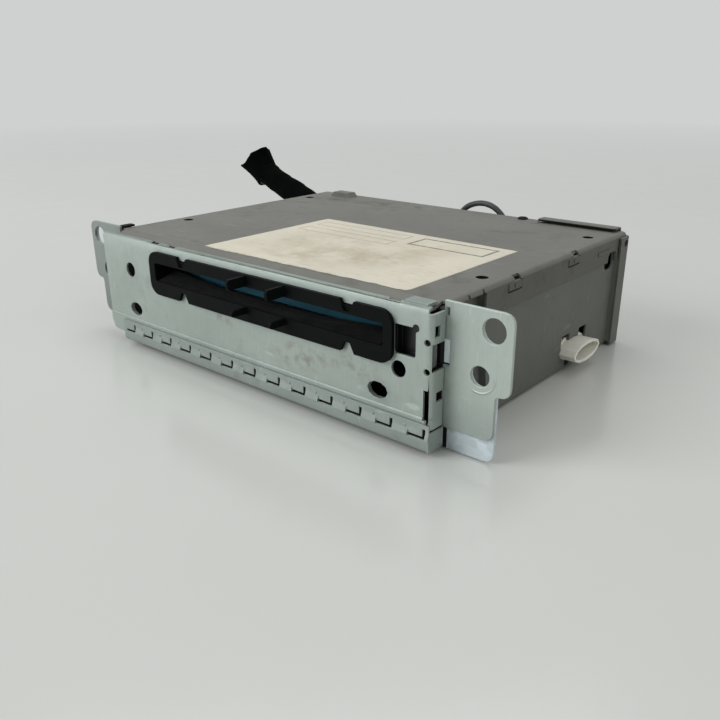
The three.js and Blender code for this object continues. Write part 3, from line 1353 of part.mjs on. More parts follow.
// A tooth of the pinion points at the idler where the idler has a gap
function pinionPhase() {
  const step = Math.PI * 2 / gear.idlerTeeth;
  const idlerOffset = idlerPhase / step - Math.round(idlerPhase / step);
  return Math.PI - (idlerOffset - 0.5) * Math.PI * 2 / gear.pinionTeeth;
}

function compoundGear() {
  const y = front + wheelY;
  const pinion = spurGear(gear.pinionTeeth, pinionPhase(), gearX, wheelX + gap, y, idlerZ);
  const wheel = spurGear(gear.wheelTeeth, 0, wheelX, wheelX + gear.thickness, y, idlerZ);
  return cut(
    join(pinion, wheel),
    cylinder('x', roller.shaft + runningGap, gearX - overrun, wheelX + gear.thickness + overrun, y, idlerZ, 12),
  );
}

function motorWorm() {
  const geometry = threadedBar({ ...wormSize, sides: 8, stepsPerTurn: 6 });
  geometry.rotateX(-Math.PI / 2);
  geometry.translate(wormX, front + wheelY - wormSize.length / 2, wormZ);
  const shaftEnd = front + loadMotor.startY + loadMotor.bossLength;
  const shaft = cylinder('y', wormSize.shaft, front + wheelY, shaftEnd, wormX, wormZ, 8);
  return join(solid(geometry), shaft);
}

function loadingMotor() {
  const y0 = front + loadMotor.startY;
  const { length, boss, bossLength } = loadMotor;
  const can = cylinder('y', motorRadius(), y0, y0 + length, wormX, wormZ, 20);
  const nose = cylinder('y', boss, y0 - bossLength, y0 + gap, wormX, wormZ, 12);
  const bore = cylinder(
    'y', wormSize.shaft + runningGap, y0 - bossLength - overrun, y0 + bossLength + gap, wormX, wormZ, 8,
  );
  return cut(join(can, nose), bore);
}

// Traverse: the plate that carries the spindle motor and the optics, lifted by two pins in the cam slide
const traverseZ = deckTop + gap;
const traverseTop = traverseZ + traverse.thickness;
const traverseLow = front + traverse.startY;
const traverseEnd = front + traverse.endY;

function rodPosts() {
  const half = guideRod.postHalf;
  const wide = guideRod.postWidth / 2;
  const rows = [spindleY - guideRod.spread, spindleY + guideRod.spread, spindleY + leadScrew.offset];
  return rows.flatMap((y) => [guideRod.left, guideRod.right].map((x) => block(
    x - wide, x + wide, y - half, y + half, traverseTop - gap, guideRod.z + half,
  )));
}

function rodBores() {
  const span = [guideRod.left - overrun * 2, guideRod.right + overrun * 2];
  const rods = sidePair.map((side) => cylinder(
    'x', guideRod.radius + gap, ...span, spindleY + side * guideRod.spread, guideRod.z, 12,
  ));
  return [...rods, cylinder('x', leadScrew.radius + gap, ...span, spindleY + leadScrew.offset, guideRod.z, 12)];
}

function traversePlate() {
  const sheet = block(traverse.left, traverse.right, traverseLow, traverseEnd, traverseZ, traverseTop);
  const flange = block(
    traverse.left, traverse.left + traverse.thickness, traverseLow, traverseEnd, traverseZ, traverse.flangeTop,
  );
  const pins = [liftPin.frontY, liftPin.rearY].map((y) => cylinder(
    'x', liftPin.radius, slideOuter() - gap, traverse.left + gap, front + y, liftPin.z, 12,
  ));
  const through = [traverseZ - overrun, traverseTop + overrun];
  const motorY = spindleY + leadScrew.offset;
  const motorX = sledMotorStart();
  return join(cut(
    join(sheet, flange, ...rodPosts()),
    ...rodBores(),
    cylinder('z', spindle.motor + gap, ...through, disc.centreX, spindleY, 24),
    block(
      motorX - gap, motorX + leadScrew.motorLength + gap, motorY - leadScrew.motorRadius - gap,
      motorY + leadScrew.motorRadius + gap, ...through,
    ),
    ...[liftStud.frontY, liftStud.rearY].map((y) => cylinder(
      'z', liftStud.radius + gap, ...through, liftStud.x, front + y, 10,
    )),
  ), ...pins);
}

const sledMotorStart = () => guideRod.left - guideRod.postWidth / 2 + leadScrew.length + gap;

function rollerShaft() {
  const left = deck.left - gap * 2;
  const right = gearX + gear.thickness + gap * 2;
  return cylinder('x', roller.shaft, left, right, front + roller.y, roller.z, 12);
}

function rollerRubber() {
  const { endRadius, midRadius, half, bore } = roller;
  const middle = disc.centreX;
  const start = middle - half;
  const end = middle + half;
  const crown = half * 0.9;
  return turned([
    [bore, start], [endRadius, start], [endRadius, middle - crown], [midRadius, middle],
    [endRadius, middle + crown], [endRadius, end], [bore, end], [bore, start],
  ], 'x', front + roller.y, roller.z, 18);
}

// Cam slide on the left of the deck: its slots lift the traverse and lower the clamp arm
function slantedSlot(y, z, rise) {
  const radius = liftPin.radius + camSlide.slotGap;
  const run = -camSlide.travel;
  const reach = Math.hypot(run, rise);
  const along = [run / reach, rise / reach];
  const across = [-along[1] * radius, along[0] * radius];
  const start = [y - along[0] * radius, z - along[1] * radius];
  const end = [y + run + along[0] * radius, z + rise + along[1] * radius];
  return [
    [start[0] + across[0], start[1] + across[1]], [end[0] + across[0], end[1] + across[1]],
    [end[0] - across[0], end[1] - across[1]], [start[0] - across[0], start[1] - across[1]],
  ].reverse();
}

function camSlidePlate() {
  const x0 = slideOuter();
  const x1 = x0 + camSlide.thickness;
  const headTop = guideStud.z + guideStud.head;
  const bar = prism([
    [front + camSlide.startY, camSlide.low], [front + camSlide.endY, camSlide.low],
    [front + camSlide.endY, camSlide.high], [front + guideStud.secondY, camSlide.high],
    [front + guideStud.firstY, headTop + camSlide.rail], [front + camSlide.startY, headTop],
  ], 'x', x0, x1);
  const rodFall = (clampArm.hingeY - clampRod.y) * Math.sin(THREE.MathUtils.degToRad(clampRod.angle));
  const slots = [
    slantedSlot(front + liftPin.frontY, liftPin.z, traverse.lift),
    slantedSlot(front + liftPin.rearY, liftPin.z, traverse.lift),
    slantedSlot(front + clampRod.y, armZ(), -rodFall),
  ].map((outline) => prism(outline, 'x', x0 - overrun, x1 + overrun));
  const room = guideStud.radius + gap;
  const guides = [guideStud.firstY, guideStud.secondY].map((y) => block(
    x0 - overrun, x1 + overrun, front + y - camSlide.travel - room, front + y + room,
    guideStud.z - room, guideStud.z + room,
  ));
  return cut(bar, ...slots, ...guides);
}

// Bridge across the deck's walls, which carries the clamp arm's hinge and the disc levers
function hingeLugs() {
  const y = front + clampArm.hingeY;
  const half = clampArm.half + steel.thickness;
  return sidePair.map((side) => {
    const x = disc.centreX + side * (half + gap) - steel.thickness / 2;
    return block(
      x, x + steel.thickness, y - clampArm.knuckle, y + clampArm.knuckle,
      armZ() - clampArm.knuckle, bridgeZ() + gap,
    );
  });
}

const bridgeZ = () => deck.wallTop + gap;

function topBridge() {
  const z0 = bridgeZ();
  const z1 = z0 + bridge.thickness;
  const opening = roundedRect(
    bridge.openLeft, bridge.openRight, front + bridge.openFront, front + bridge.openBack, deck.bend,
  );
  const sheet = cut(
    block(deck.left, deck.right, front + bridge.startY, front + deck.endY, z0, z1),
    prism(opening, 'z', z0 - overrun, z1 + overrun),
    block(
      disc.centreX - clampArm.half - gap, disc.centreX + clampArm.half + gap, front + bridge.openBack - overrun,
      front + clampArm.hingeY + clampArm.knuckle + gap, z0 - overrun, z1 + overrun,
    ),
  );
  const pin = cylinder(
    'x', clampArm.pin, disc.centreX - clampArm.half - overrun, disc.centreX + clampArm.half + overrun,
    front + clampArm.hingeY, armZ(), 10,
  );
  const axles = leverPlaces().map(({ x }) => join(
    cylinder('z', leverPin.axle, lever.z - gap * 2, z0 + gap, x, front + lever.pivotY, 10),
    cylinder('z', leverPin.axle * 1.6, lever.z - gap * 5, lever.z - gap, x, front + lever.pivotY, 10),
  ));
  return join(sheet, ...hingeLugs(), pin, ...axles);
}

// Clamp arm with its knuckle and the rod that the cam slide moves
function clampArmPlate() {
  const z = armZ();
  const half = clampArm.thickness / 2;
  const x0 = disc.centreX - clampArm.half;
  const x1 = disc.centreX + clampArm.half;
  const hingeY = front + clampArm.hingeY;
  const plateShape = roundedRect(x0, x1, front + clampArm.startY, hingeY, clampArm.half / 3);
  const sheet = prism(plateShape, 'z', z - half, z + half);
  const knuckle = cylinder('x', clampArm.knuckle, x0 + overrun, x1 - overrun, hingeY, z, 12);
  const rod = cylinder('x', clampRod.radius, slideOuter() - gap, x0 + overrun, front + clampRod.y, z, 10);
  return cut(
    join(sheet, knuckle, rod),
    cylinder('x', clampArm.pin + runningGap, x0 - overrun, x1 + overrun, hingeY, z, 12),
    cylinder('z', puck.stem + puck.stemGap, z - overrun, z + overrun, disc.centreX, spindleY, 18),
  );
}

function clampPuck() {
  const z = armZ();
  const under = z - clampArm.thickness / 2 - gap;
  const over = z + clampArm.thickness / 2 + gap;
  const low = under - puck.thickness;
  const floor = low + puck.recessDepth;
  const lid = over + puck.flangeThickness;
  return turned([
    [0, floor], [puck.recess, floor], [puck.recess, low], [puck.radius * 0.9, low],
    [puck.radius, under - puck.thickness / 2], [puck.radius, under], [puck.stem, under],
    [puck.stem, over], [puck.flange, over], [puck.flange, lid], [0, lid],
  ], 'z', disc.centreX, spindleY, 24);
}

// Disc levers under the bridge, which feel the disc's edge
function leverPlaces() {
  return sidePair.map((side) => ({
    side, x: disc.centreX + side * lever.pivotIn, pinX: disc.centreX + side * lever.pinIn,
  }));
}

function discLever({ x, pinX }) {
  const start = new THREE.Vector2(x, front + lever.pivotY);
  const end = new THREE.Vector2(pinX, front + lever.pinY);
  const along = end.clone().sub(start).normalize();
  const across = new THREE.Vector2(-along.y, along.x).multiplyScalar(lever.width / 2);
  const z0 = lever.z;
  const z1 = z0 + lever.thickness;
  const corners = [
    start.clone().add(across), end.clone().addScaledVector(across, 0.6),
    end.clone().addScaledVector(across, -0.6), start.clone().sub(across),
  ].reverse();
  const arm = join(
    prism(new THREE.Shape(corners), 'z', z0, z1),
    cylinder('z', lever.width / 2, z0, z1, start.x, start.y, 14),
    cylinder('z', lever.width * 0.3, z0, z1, end.x, end.y, 12),
    cylinder('z', leverPin.radius, z1 - gap - leverPin.drop, z1 - gap, end.x, end.y, 10),
  );
  return cut(arm, cylinder('z', leverPin.axle + runningGap, z0 - overrun, z1 + overrun, start.x, start.y, 12));
}

// Spindle motor and turntable
function spindleMotor() {
  const { motor, motorLow, motorTop, shaft, flange, flangeHeight } = spindle;
  const seat = traverseTop + gap;
  const tip = disc.pathZ - disc.drop;
  return turned([
    [0, motorLow], [motor, motorLow], [motor, seat], [flange, seat],
    [flange, seat + flangeHeight], [motor, seat + flangeHeight], [motor, motorTop],
    [shaft * 3, motorTop], [shaft * 3, motorTop + gap], [shaft, motorTop + gap], [shaft, tip], [0, tip],
  ], 'z', disc.centreX, spindleY, 24);
}

function turntable() {
  const discSeat = disc.pathZ - disc.drop;
  const { plate: radius, hub, cone, coneTop, coneHeight, shaft } = spindle;
  const bore = shaft + runningGap;
  const low = discSeat - hub;
  return turned([
    [bore, low], [radius * 0.6, low], [radius, discSeat - hub * 0.4], [radius, discSeat], [cone, discSeat],
    [coneTop, discSeat + coneHeight - gap], [0, discSeat + coneHeight - gap],
    [0, discSeat + gap], [bore, discSeat + gap], [bore, low],
  ], 'z', disc.centreX, spindleY, 24);
}

// Optical sled on two rods, moved by the lead screw
const sledX = disc.centreX - sledSize.innerRadius;

function opticalSled() {
  const { half, depth, low, high, lens, lensRise } = sledSize;
  const left = sledX - half;
  const right = sledX + half;
  const bodyPart = block(left, right, spindleY - depth / 2, spindleY + depth / 2, low, high);
  const bushes = sidePair.map((side) => {
    const ys = [
      spindleY + side * (depth / 2 - overrun), spindleY + side * (guideRod.spread + guideRod.radius * 2),
    ];
    return block(left, right, Math.min(...ys), Math.max(...ys), low, high - gap * 2);
  });
  const rods = sidePair.map((side) => cylinder(
    'x', guideRod.radius + runningGap, left - overrun, right + overrun,
    spindleY + side * guideRod.spread, guideRod.z, 12,
  ));
  const nutEnd = spindleY + leadScrew.offset - leadScrew.radius - gap;
  const nut = block(
    sledX - half / 3, sledX + half / 3, spindleY + guideRod.spread + overrun * 2, nutEnd,
    guideRod.z - guideRod.radius, high - gap * 2,
  );
  const lensPart = cylinder('z', lens, high - gap, high + lensRise, sledX, spindleY, 16);
  return join(cut(join(bodyPart, ...bushes), ...rods), nut, lensPart);
}

function guideBar(side) {
  return cylinder(
    'x', guideRod.radius, guideRod.left - guideRod.postWidth / 2, guideRod.right + guideRod.postWidth / 2,
    spindleY + side * guideRod.spread, guideRod.z, 12,
  );
}

function sledScrew() {
  const geometry = threadedBar({ ...leadScrew, sides: 8, stepsPerTurn: 4 });
  geometry.rotateY(Math.PI / 2);
  const x0 = guideRod.left - guideRod.postWidth / 2;
  const y = spindleY + leadScrew.offset;
  geometry.translate(x0, y, guideRod.z);
  const end = x0 + leadScrew.length;
  const stub = cylinder('x', leadScrew.stub, end - overrun, end + overrun * 2, y, guideRod.z, 8);
  return join(solid(geometry), stub);
}

function sledMotor() {
  const x0 = sledMotorStart();
  const y = spindleY + leadScrew.offset;
  const can = cylinder('x', leadScrew.motorRadius, x0, x0 + leadScrew.motorLength, y, guideRod.z, 16);
  return cut(can, cylinder('x', leadScrew.bore, x0 - overrun, x0 + overrun * 2, y, guideRod.z, 10));
}

// Rubber dampers: cups on the tub's posts that take the deck's studs
function rubberDamper([x, y]) {
  const { radius, low, high, bore, floor } = damper;
  const waist = radius * 0.8;
  return turned([
    [0, low], [radius, low], [radius, low + floor], [waist, (low + high) / 2], [radius, high - floor],
    [radius, high], [bore, high], [bore, low + floor], [0, low + floor],
  ], 'z', x, y, 16);
}

// Put the unit together
add('chassis_tub', chassisTub(), wallZinc);
add('top_cover', topCover(), coverZinc);
add('front_plate', frontPlate(), brightZinc);
add('contact_rail', contactRail(), railZinc);
add('mounting_frame', mountingFrame(), brightZinc);
add('side_bracket_right', sideBracket(1), spangleZinc);
add('side_bracket_left', sideBracket(-1), spangleZinc);
add('rear_plate', rearPlate(), darkSteel);
add('cover_label', paperLabel(), paper);
add('slot_bezel', slotBezel(), blackPlastic);
add('felt_wiper_upper', feltWiper(false), darkFelt);
add('felt_wiper_lower', feltWiper(true), darkFelt);
add('dust_shutter', dustShutter(), shutterPlastic);
add('window_guide', windowGuide(), blackPlastic);
add('spring_clip', springClip(), springSteel);
add('side_sleeve', sideSleeve(), creamPlastic);

add('main_board', mainBoard(), boardGreen);
boardSpots().forEach((spot, i) => add(`board_screw_${i + 1}`, boardScrew(spot), polished));
add('heat_spreader', heatSpreader(), tinned);
add('tuner_module', tunerModule(), tinned);
add('main_header', mainHeader(), blackPlastic);
add('harness_plug', harnessPlugBody(), blackPlastic);
add('harness_stub', harness(), sheath);
aerialPlaces().forEach((x, i) => add(`aerial_socket_${i + 1}`, aerialSocket(x), aerialPlastic));
add('jumper_plug_1', aerialPlugBody(aerialPlaces()[0]), aerialPlastic);
add('jumper_plug_2', aerialPlugBody(aerialPlaces()[2]), aerialPlastic);
add('jumper_lead', cordTube(jumperRoute(), jumperCord), sheath);
add('fan_frame', fanFrame(), blackPlastic);
add('fan_rotor', fanRotor(), blackPlastic);

add('drive_deck', driveDeck(), tinned);
add('drive_bridge', topBridge(), tinned);
damperPlaces().forEach((place, i) => add(`damper_${i + 1}`, rubberDamper(place), rubber));
add('traverse_plate', traversePlate(), tinned);
add('roller_shaft', rollerShaft(), polished);
add('roller_rubber', rollerRubber(), rubber);
add('roller_gear', rollerGear(), gearPlastic);
add('idler_gear', idlerGear(), gearPlastic);
add('compound_gear', compoundGear(), gearPlastic);
add('motor_worm', motorWorm(), polished);
add('loading_motor', loadingMotor(), polished);
add('cam_slide', camSlidePlate(), polished);
add('clamp_arm', clampArmPlate(), polished);
add('clamp_puck', clampPuck(), blackPlastic);
const leverNames = ['disc_lever_left', 'disc_lever_right'];
leverPlaces().forEach((place, i) => add(leverNames[i], discLever(place), gearPlastic));
add('spindle_motor', spindleMotor(), polished);
add('turntable', turntable(), blackPlastic);
add('optical_sled', opticalSled(), darkSteel);
add('guide_rod_front', guideBar(-1), polished);
add('guide_rod_rear', guideBar(1), polished);
add('lead_screw', sledScrew(), polished);
add('sled_motor', sledMotor(), polished);

export default unit;
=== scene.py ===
"""Looks of a slot-loading car navigation head unit: finishes, felts, cords, label and small fittings."""
import json
import math
import random

import bpy
from mathutils import Matrix, Vector, noise

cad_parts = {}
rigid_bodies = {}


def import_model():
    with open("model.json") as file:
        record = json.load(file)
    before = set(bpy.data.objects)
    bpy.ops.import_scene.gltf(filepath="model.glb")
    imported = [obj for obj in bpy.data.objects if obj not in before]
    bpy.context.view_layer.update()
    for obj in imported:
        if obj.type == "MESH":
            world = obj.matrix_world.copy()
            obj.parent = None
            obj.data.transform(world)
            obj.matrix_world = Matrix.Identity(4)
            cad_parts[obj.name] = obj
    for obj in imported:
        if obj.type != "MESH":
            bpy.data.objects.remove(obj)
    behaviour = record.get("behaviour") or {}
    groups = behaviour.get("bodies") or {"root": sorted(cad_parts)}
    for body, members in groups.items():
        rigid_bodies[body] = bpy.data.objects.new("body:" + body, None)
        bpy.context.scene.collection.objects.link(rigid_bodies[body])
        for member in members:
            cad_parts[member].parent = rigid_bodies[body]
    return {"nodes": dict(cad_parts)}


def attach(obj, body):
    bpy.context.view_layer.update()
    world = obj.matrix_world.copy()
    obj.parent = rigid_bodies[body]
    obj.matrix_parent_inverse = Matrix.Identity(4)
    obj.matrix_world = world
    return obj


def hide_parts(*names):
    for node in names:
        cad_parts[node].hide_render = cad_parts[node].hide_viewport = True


for leftover in list(bpy.data.objects):
    bpy.data.objects.remove(leftover)
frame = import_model()
bpy.context.view_layer.update()
random.seed(7)

MM = 0.001
# faces of the case, in mm
FRONT = -72.0
BACK = 72.0
TOP = 50.0
# camera found from the straight edges in the photo: degrees, mm and a sensor 36 mm wide
CAMERA = {"heading": 40.953, "tilt": 21.494, "roll": 0.374, "place": (212.62, -247.53, 118.04), "lens": 37.63}


# ---------------------------------------------------------------- camera
def make_camera():
    heading, tilt, roll = (math.radians(CAMERA[angle]) for angle in ("heading", "tilt", "roll"))
    reach = math.cos(tilt)
    forward = Vector((-math.sin(heading) * reach, math.cos(heading) * reach, -math.sin(tilt)))
    level = Vector((math.cos(heading), math.sin(heading), 0))
    down = forward.cross(level)
    right = math.cos(roll) * level + math.sin(roll) * down
    up = math.sin(roll) * level - math.cos(roll) * down
    data = bpy.data.cameras.new("camera")
    data.lens = CAMERA["lens"]
    data.sensor_width = 36
    data.clip_start, data.clip_end = 0.01, 20
    camera = bpy.data.objects.new("camera", data)
    bpy.context.scene.collection.objects.link(camera)
    turn = Matrix((right, up, -forward)).transposed().to_4x4()
    camera.matrix_world = Matrix.Translation(Vector(CAMERA["place"]) * MM) @ turn
    bpy.context.scene.camera = camera


make_camera()


# ---------------------------------------------------------------- small tools
def smooth_path(points, steps):
    """Catmull-Rom points through the given ones, in metres."""
    knots = [Vector(p) * MM for p in points]
    knots = [2 * knots[0] - knots[1], *knots, 2 * knots[-1] - knots[-2]]
    path = []
    for i in range(1, len(knots) - 2):
        a, b, c, d = knots[i - 1:i + 3]
        for step in range(steps):
            t = step / steps
            path.append(0.5 * (2 * b + (c - a) * t + (2 * a - 5 * b + 4 * c - d) * t * t
                               + (3 * b - a - 3 * c + d) * t ** 3))
    path.append(knots[-2].copy())
    return path


def new_mesh(name, points, faces, material, smooth=True):
    """A mesh from points in metres."""
    mesh = bpy.data.meshes.new(name)
    mesh.from_pydata([tuple(p) for p in points], [], faces)
    mesh.validate()
    for polygon in mesh.polygons:
        polygon.use_smooth = smooth
    piece = bpy.data.objects.new(name, mesh)
    bpy.context.scene.collection.objects.link(piece)
    piece.data.materials.append(material)
    return piece


def grid_faces(rows, columns, wrap=False):
    """Four-sided faces between rows of points; wrap joins the last column to the first."""
    faces = []
    for i in range(rows - 1):
        for j in range(columns if wrap else columns - 1):
            k = (j + 1) % columns
            faces.append((i * columns + j, i * columns + k, (i + 1) * columns + k, (i + 1) * columns + j))
    return faces


def end_caps(rows, columns):
    """Faces that close the first and the last ring of a wrapped grid."""
    last = (rows - 1) * columns
    return [tuple(reversed(range(columns))), tuple(last + j for j in range(columns))]


def tube(name, path, radius, sides, material):
    """A closed tube along a path; radius(i, angle) is in metres."""
    points = []
    side = Vector((0, 1, 0))
    for i, centre in enumerate(path):
        along = (path[min(i + 1, len(path) - 1)] - path[max(i - 1, 0)]).normalized()
        side = (side - along * side.dot(along)).normalized()
        over = along.cross(side)
        for j in range(sides):
            angle = j / sides * math.tau
            r = radius(i, angle)
            points.append(centre + side * (r * math.cos(angle)) + over * (r * math.sin(angle)))
    faces = grid_faces(len(path), sides, wrap=True) + end_caps(len(path), sides)
    return new_mesh(name, points, faces, material)


def turned(name, centre, axis, profile, material, sides=24):
    """A profile of (radius, height) in mm turned about an axis through centre."""
    lift = Vector(axis).normalized()
    side = lift.orthogonal().normalized()
    over = lift.cross(side)
    base = Vector(centre)
    points = [base + lift * h + side * (r * math.cos(a)) + over * (r * math.sin(a))
              for r, h in profile for a in (k / sides * math.tau for k in range(sides))]
    faces = grid_faces(len(profile), sides, wrap=True) + end_caps(len(profile), sides)
    return new_mesh(name, [p * MM for p in points], faces, material)


FLAT_ANGLE = 0.4    # degrees between triangles that count as one flat face


def soften(piece, width, sharp=32):
    """Rounds edges sharper than that angle; flat triangles are merged first, so that no edge is cut short."""
    flat = piece.modifiers.new("flat", "DECIMATE")
    flat.decimate_type = "DISSOLVE"
    flat.angle_limit = math.radians(FLAT_ANGLE)
    bevel = piece.modifiers.new("edges", "BEVEL")
    bevel.width = width * MM
    bevel.segments = 2
    bevel.limit_method = "ANGLE"
    bevel.angle_limit = math.radians(sharp)
    bevel.use_clamp_overlap = False
    bevel.harden_normals = True
    return piece


def slab(name, outline, low, high, material, axis="z", bevel=0.0):
    """An outline in mm pulled between two levels along z or y; the outline is in (x, y) or (x, z)."""
    place = {"z": lambda u, v, w: (u, v, w), "y": lambda u, v, w: (u, w, v)}[axis]
    count = len(outline)
    points = [Vector(place(u, v, w)) * MM for w in (low, high) for u, v in outline]
    faces = [tuple(range(count)), tuple(reversed(range(count, 2 * count)))]
    faces += [(j, j + count, (j + 1) % count + count, (j + 1) % count) for j in range(count)]
    piece = new_mesh(name, points, faces, material, smooth=False)
    piece.data.flip_normals()
    fix = piece.modifiers.new("weld", "WELD")
    fix.merge_threshold = 1e-6
    return soften(piece, bevel) if bevel else piece


# ---------------------------------------------------------------- node helpers
class Finish:
    """A procedural finish: principled shader with helpers for the textures that feed it."""

    def __init__(self, name, colour, roughness, metallic=0.0):
        self.material = bpy.data.materials.new(name)
        self.material.use_nodes = True
        self.tree = self.material.node_tree
        self.tree.nodes.clear()
        self.shader = self.tree.nodes.new("ShaderNodeBsdfPrincipled")
        output = self.tree.nodes.new("ShaderNodeOutputMaterial")
        self.tree.links.new(self.shader.outputs[0], output.inputs[0])
        self.place = self.tree.nodes.new("ShaderNodeTexCoord").outputs["Object"]
        self.colour = self.rgb(colour)
        self.roughness = self.value(roughness)
        self.shader.inputs["Metallic"].default_value = metallic
        self.heights = []

    def rgb(self, colour):
        node = self.tree.nodes.new("ShaderNodeRGB")
        node.outputs[0].default_value = (*linear(colour), 1)
        return node.outputs[0]

    def value(self, number):
        node = self.tree.nodes.new("ShaderNodeValue")
        node.outputs[0].default_value = number
        return node.outputs[0]

    def feed(self, socket, value):
        """Links a socket or sets a constant."""
        if isinstance(value, bpy.types.NodeSocket):
            self.tree.links.new(value, socket)
        else:
            socket.default_value = value

    def maths(self, operation, a, b=0.0, clamp=False):
        node = self.tree.nodes.new("ShaderNodeMath")
        node.operation = operation
        node.use_clamp = clamp
        self.feed(node.inputs[0], a)
        self.feed(node.inputs[1], b)
        return node.outputs[0]

    def stretched(self, scale, turn=(0, 0, 0)):
        """Surface place scaled and turned, so that a texture on it is drawn out."""
        node = self.tree.nodes.new("ShaderNodeMapping")
        self.feed(node.inputs["Vector"], self.place)
        node.inputs["Scale"].default_value = scale
        node.inputs["Rotation"].default_value = [math.radians(a) for a in turn]
        return node.outputs[0]

    def noise(self, scale, detail=3.0, vector=None, roughness=0.55):
        node = self.tree.nodes.new("ShaderNodeTexNoise")
        self.feed(node.inputs["Vector"], vector or self.place)
        node.inputs["Scale"].default_value = scale
        node.inputs["Detail"].default_value = detail
        node.inputs["Roughness"].default_value = roughness
        return node.outputs["Fac"]

    def cells(self, scale, feature="F1", output="Color"):
        """One grey value for each cell, or the distance from the cell's middle."""
        node = self.tree.nodes.new("ShaderNodeTexVoronoi")
        node.feature = feature
        self.feed(node.inputs["Vector"], self.place)
        node.inputs["Scale"].default_value = scale
        if output == "Distance":
            return node.outputs["Distance"]
        split = self.tree.nodes.new("ShaderNodeSeparateColor")
        self.feed(split.inputs[0], node.outputs["Color"])
        return split.outputs[0]

    def axis(self, name):
        node = self.tree.nodes.new("ShaderNodeSeparateXYZ")
        self.feed(node.inputs[0], self.place)
        return node.outputs[name]

    def band(self, value, low, high, to_low=0.0, to_high=1.0):
        """Maps low to high onto to_low to to_high and holds the ends."""
        node = self.tree.nodes.new("ShaderNodeMapRange")
        for i, number in enumerate((value, low, high, to_low, to_high)):
            self.feed(node.inputs[i], number)
        return node.outputs[0]

    def shade(self, factor):
        """Multiplies the colour by a factor that varies over the surface."""
        node = self.tree.nodes.new("ShaderNodeVectorMath")
        node.operation = "SCALE"
        self.feed(node.inputs[0], self.colour)
        self.feed(node.inputs["Scale"], factor)
        self.colour = node.outputs[0]

    def paint(self, mask, colour):
        """Lays a colour over the one so far where the mask is 1."""
        node = self.tree.nodes.new("ShaderNodeMix")
        node.data_type = "RGBA"
        self.feed(node.inputs["Factor"], mask)
        self.feed(node.inputs[6], self.colour)
        node.inputs[7].default_value = (*linear(colour), 1)
        self.colour = node.outputs[2]

    def rough(self, mask, change):
        self.roughness = self.maths("ADD", self.roughness, self.maths("MULTIPLY", mask, change), clamp=True)

    def height(self, value, depth):
        """Relief whose depth is in mm."""
        self.heights.append(self.maths("MULTIPLY", value, depth * MM))

    def spot(self, x, y, half_x, half_y, axes="XY", turn=0.0, soft=0.0):
        """A soft ellipse at a place on the surface, in mm; soft is the share that is full."""
        u = self.maths("SUBTRACT", self.axis(axes[0]), x * MM)
        v = self.maths("SUBTRACT", self.axis(axes[1]), y * MM)
        c, s = math.cos(math.radians(turn)), math.sin(math.radians(turn))
        along = self.maths("ADD", self.maths("MULTIPLY", u, c), self.maths("MULTIPLY", v, s))
        across = self.maths("SUBTRACT", self.maths("MULTIPLY", v, c), self.maths("MULTIPLY", u, s))
        a = self.maths("POWER", self.maths("ABSOLUTE", self.maths("DIVIDE", along, half_x * MM)), 2.0)
        b = self.maths("POWER", self.maths("ABSOLUTE", self.maths("DIVIDE", across, half_y * MM)), 2.0)
        return self.band(self.maths("ADD", a, b), soft, 1.0, 1.0, 0.0)

    def worn_edges(self, radius, bright):
        """Brightens convex and concave edges alike, as rubbed plating does."""
        bevel = self.tree.nodes.new("ShaderNodeBevel")
        bevel.samples = 4
        bevel.inputs["Radius"].default_value = radius * MM
        flat = self.tree.nodes.new("ShaderNodeNewGeometry").outputs["Normal"]
        dot = self.tree.nodes.new("ShaderNodeVectorMath")
        dot.operation = "DOT_PRODUCT"
        self.feed(dot.inputs[0], bevel.outputs[0])
        self.feed(dot.inputs[1], flat)
        mask = self.band(dot.outputs["Value"], 0.99, 0.8)
        broken = self.maths("MULTIPLY", mask, self.band(self.noise(420, 2), 0.38, 0.62))
        self.shade(self.maths("ADD", 1.0, self.maths("MULTIPLY", broken, bright)))
        return broken

    def painted_shade(self, mask, colour=(20, 21, 21)):
        """Painted shade: a matt dark colour where the mask is 1."""
        self.paint(mask, colour)
        self.rough(mask, 0.4)

    def inside(self, *limits):
        """1 between the given limits, each an axis with its lowest and highest place in mm."""
        total = 1.0
        for name, low, high in limits:
            middle, half = (low + high) / 2 * MM, (high - low) / 2 * MM
            offset = self.maths("ABSOLUTE", self.maths("SUBTRACT", self.axis(name), middle))
            total = self.maths("MULTIPLY", self.maths("LESS_THAN", offset, half), total)
        return total

    def done(self, edges=0.0, **sockets):
        """Wires everything up; edges is the radius, in mm, with which shading rounds the edges."""
        self.feed(self.shader.inputs["Base Color"], self.colour)
        self.feed(self.shader.inputs["Roughness"], self.roughness)
        for name, value in sockets.items():
            self.shader.inputs[name.replace("_", " ")].default_value = value
        if self.heights:
            total = self.heights[0]
            for other in self.heights[1:]:
                total = self.maths("ADD", total, other)
            bump = self.tree.nodes.new("ShaderNodeBump")
            bump.inputs["Strength"].default_value = 1.0
            bump.inputs["Distance"].default_value = 1.0
            self.feed(bump.inputs["Height"], total)
            if edges:
                rounded = self.tree.nodes.new("ShaderNodeBevel")
                rounded.samples = 6
                rounded.inputs["Radius"].default_value = edges * MM
                self.feed(bump.inputs["Normal"], rounded.outputs[0])
            self.feed(self.shader.inputs["Normal"], bump.outputs[0])
        return self.material


def linear(colour):
    """Linear values of an sRGB colour given from 0 to 255."""
    return [(c / 255 / 12.92) if c <= 10 else ((c / 255 + 0.055) / 1.055) ** 2.4 for c in colour]


# ---------------------------------------------------------------- sheet metal finishes
# stretches that draw a noise out into lines: fine along one axis, long along the others
FINE_X, FINE_Y = (14, 1, 1), (1, 14, 1)


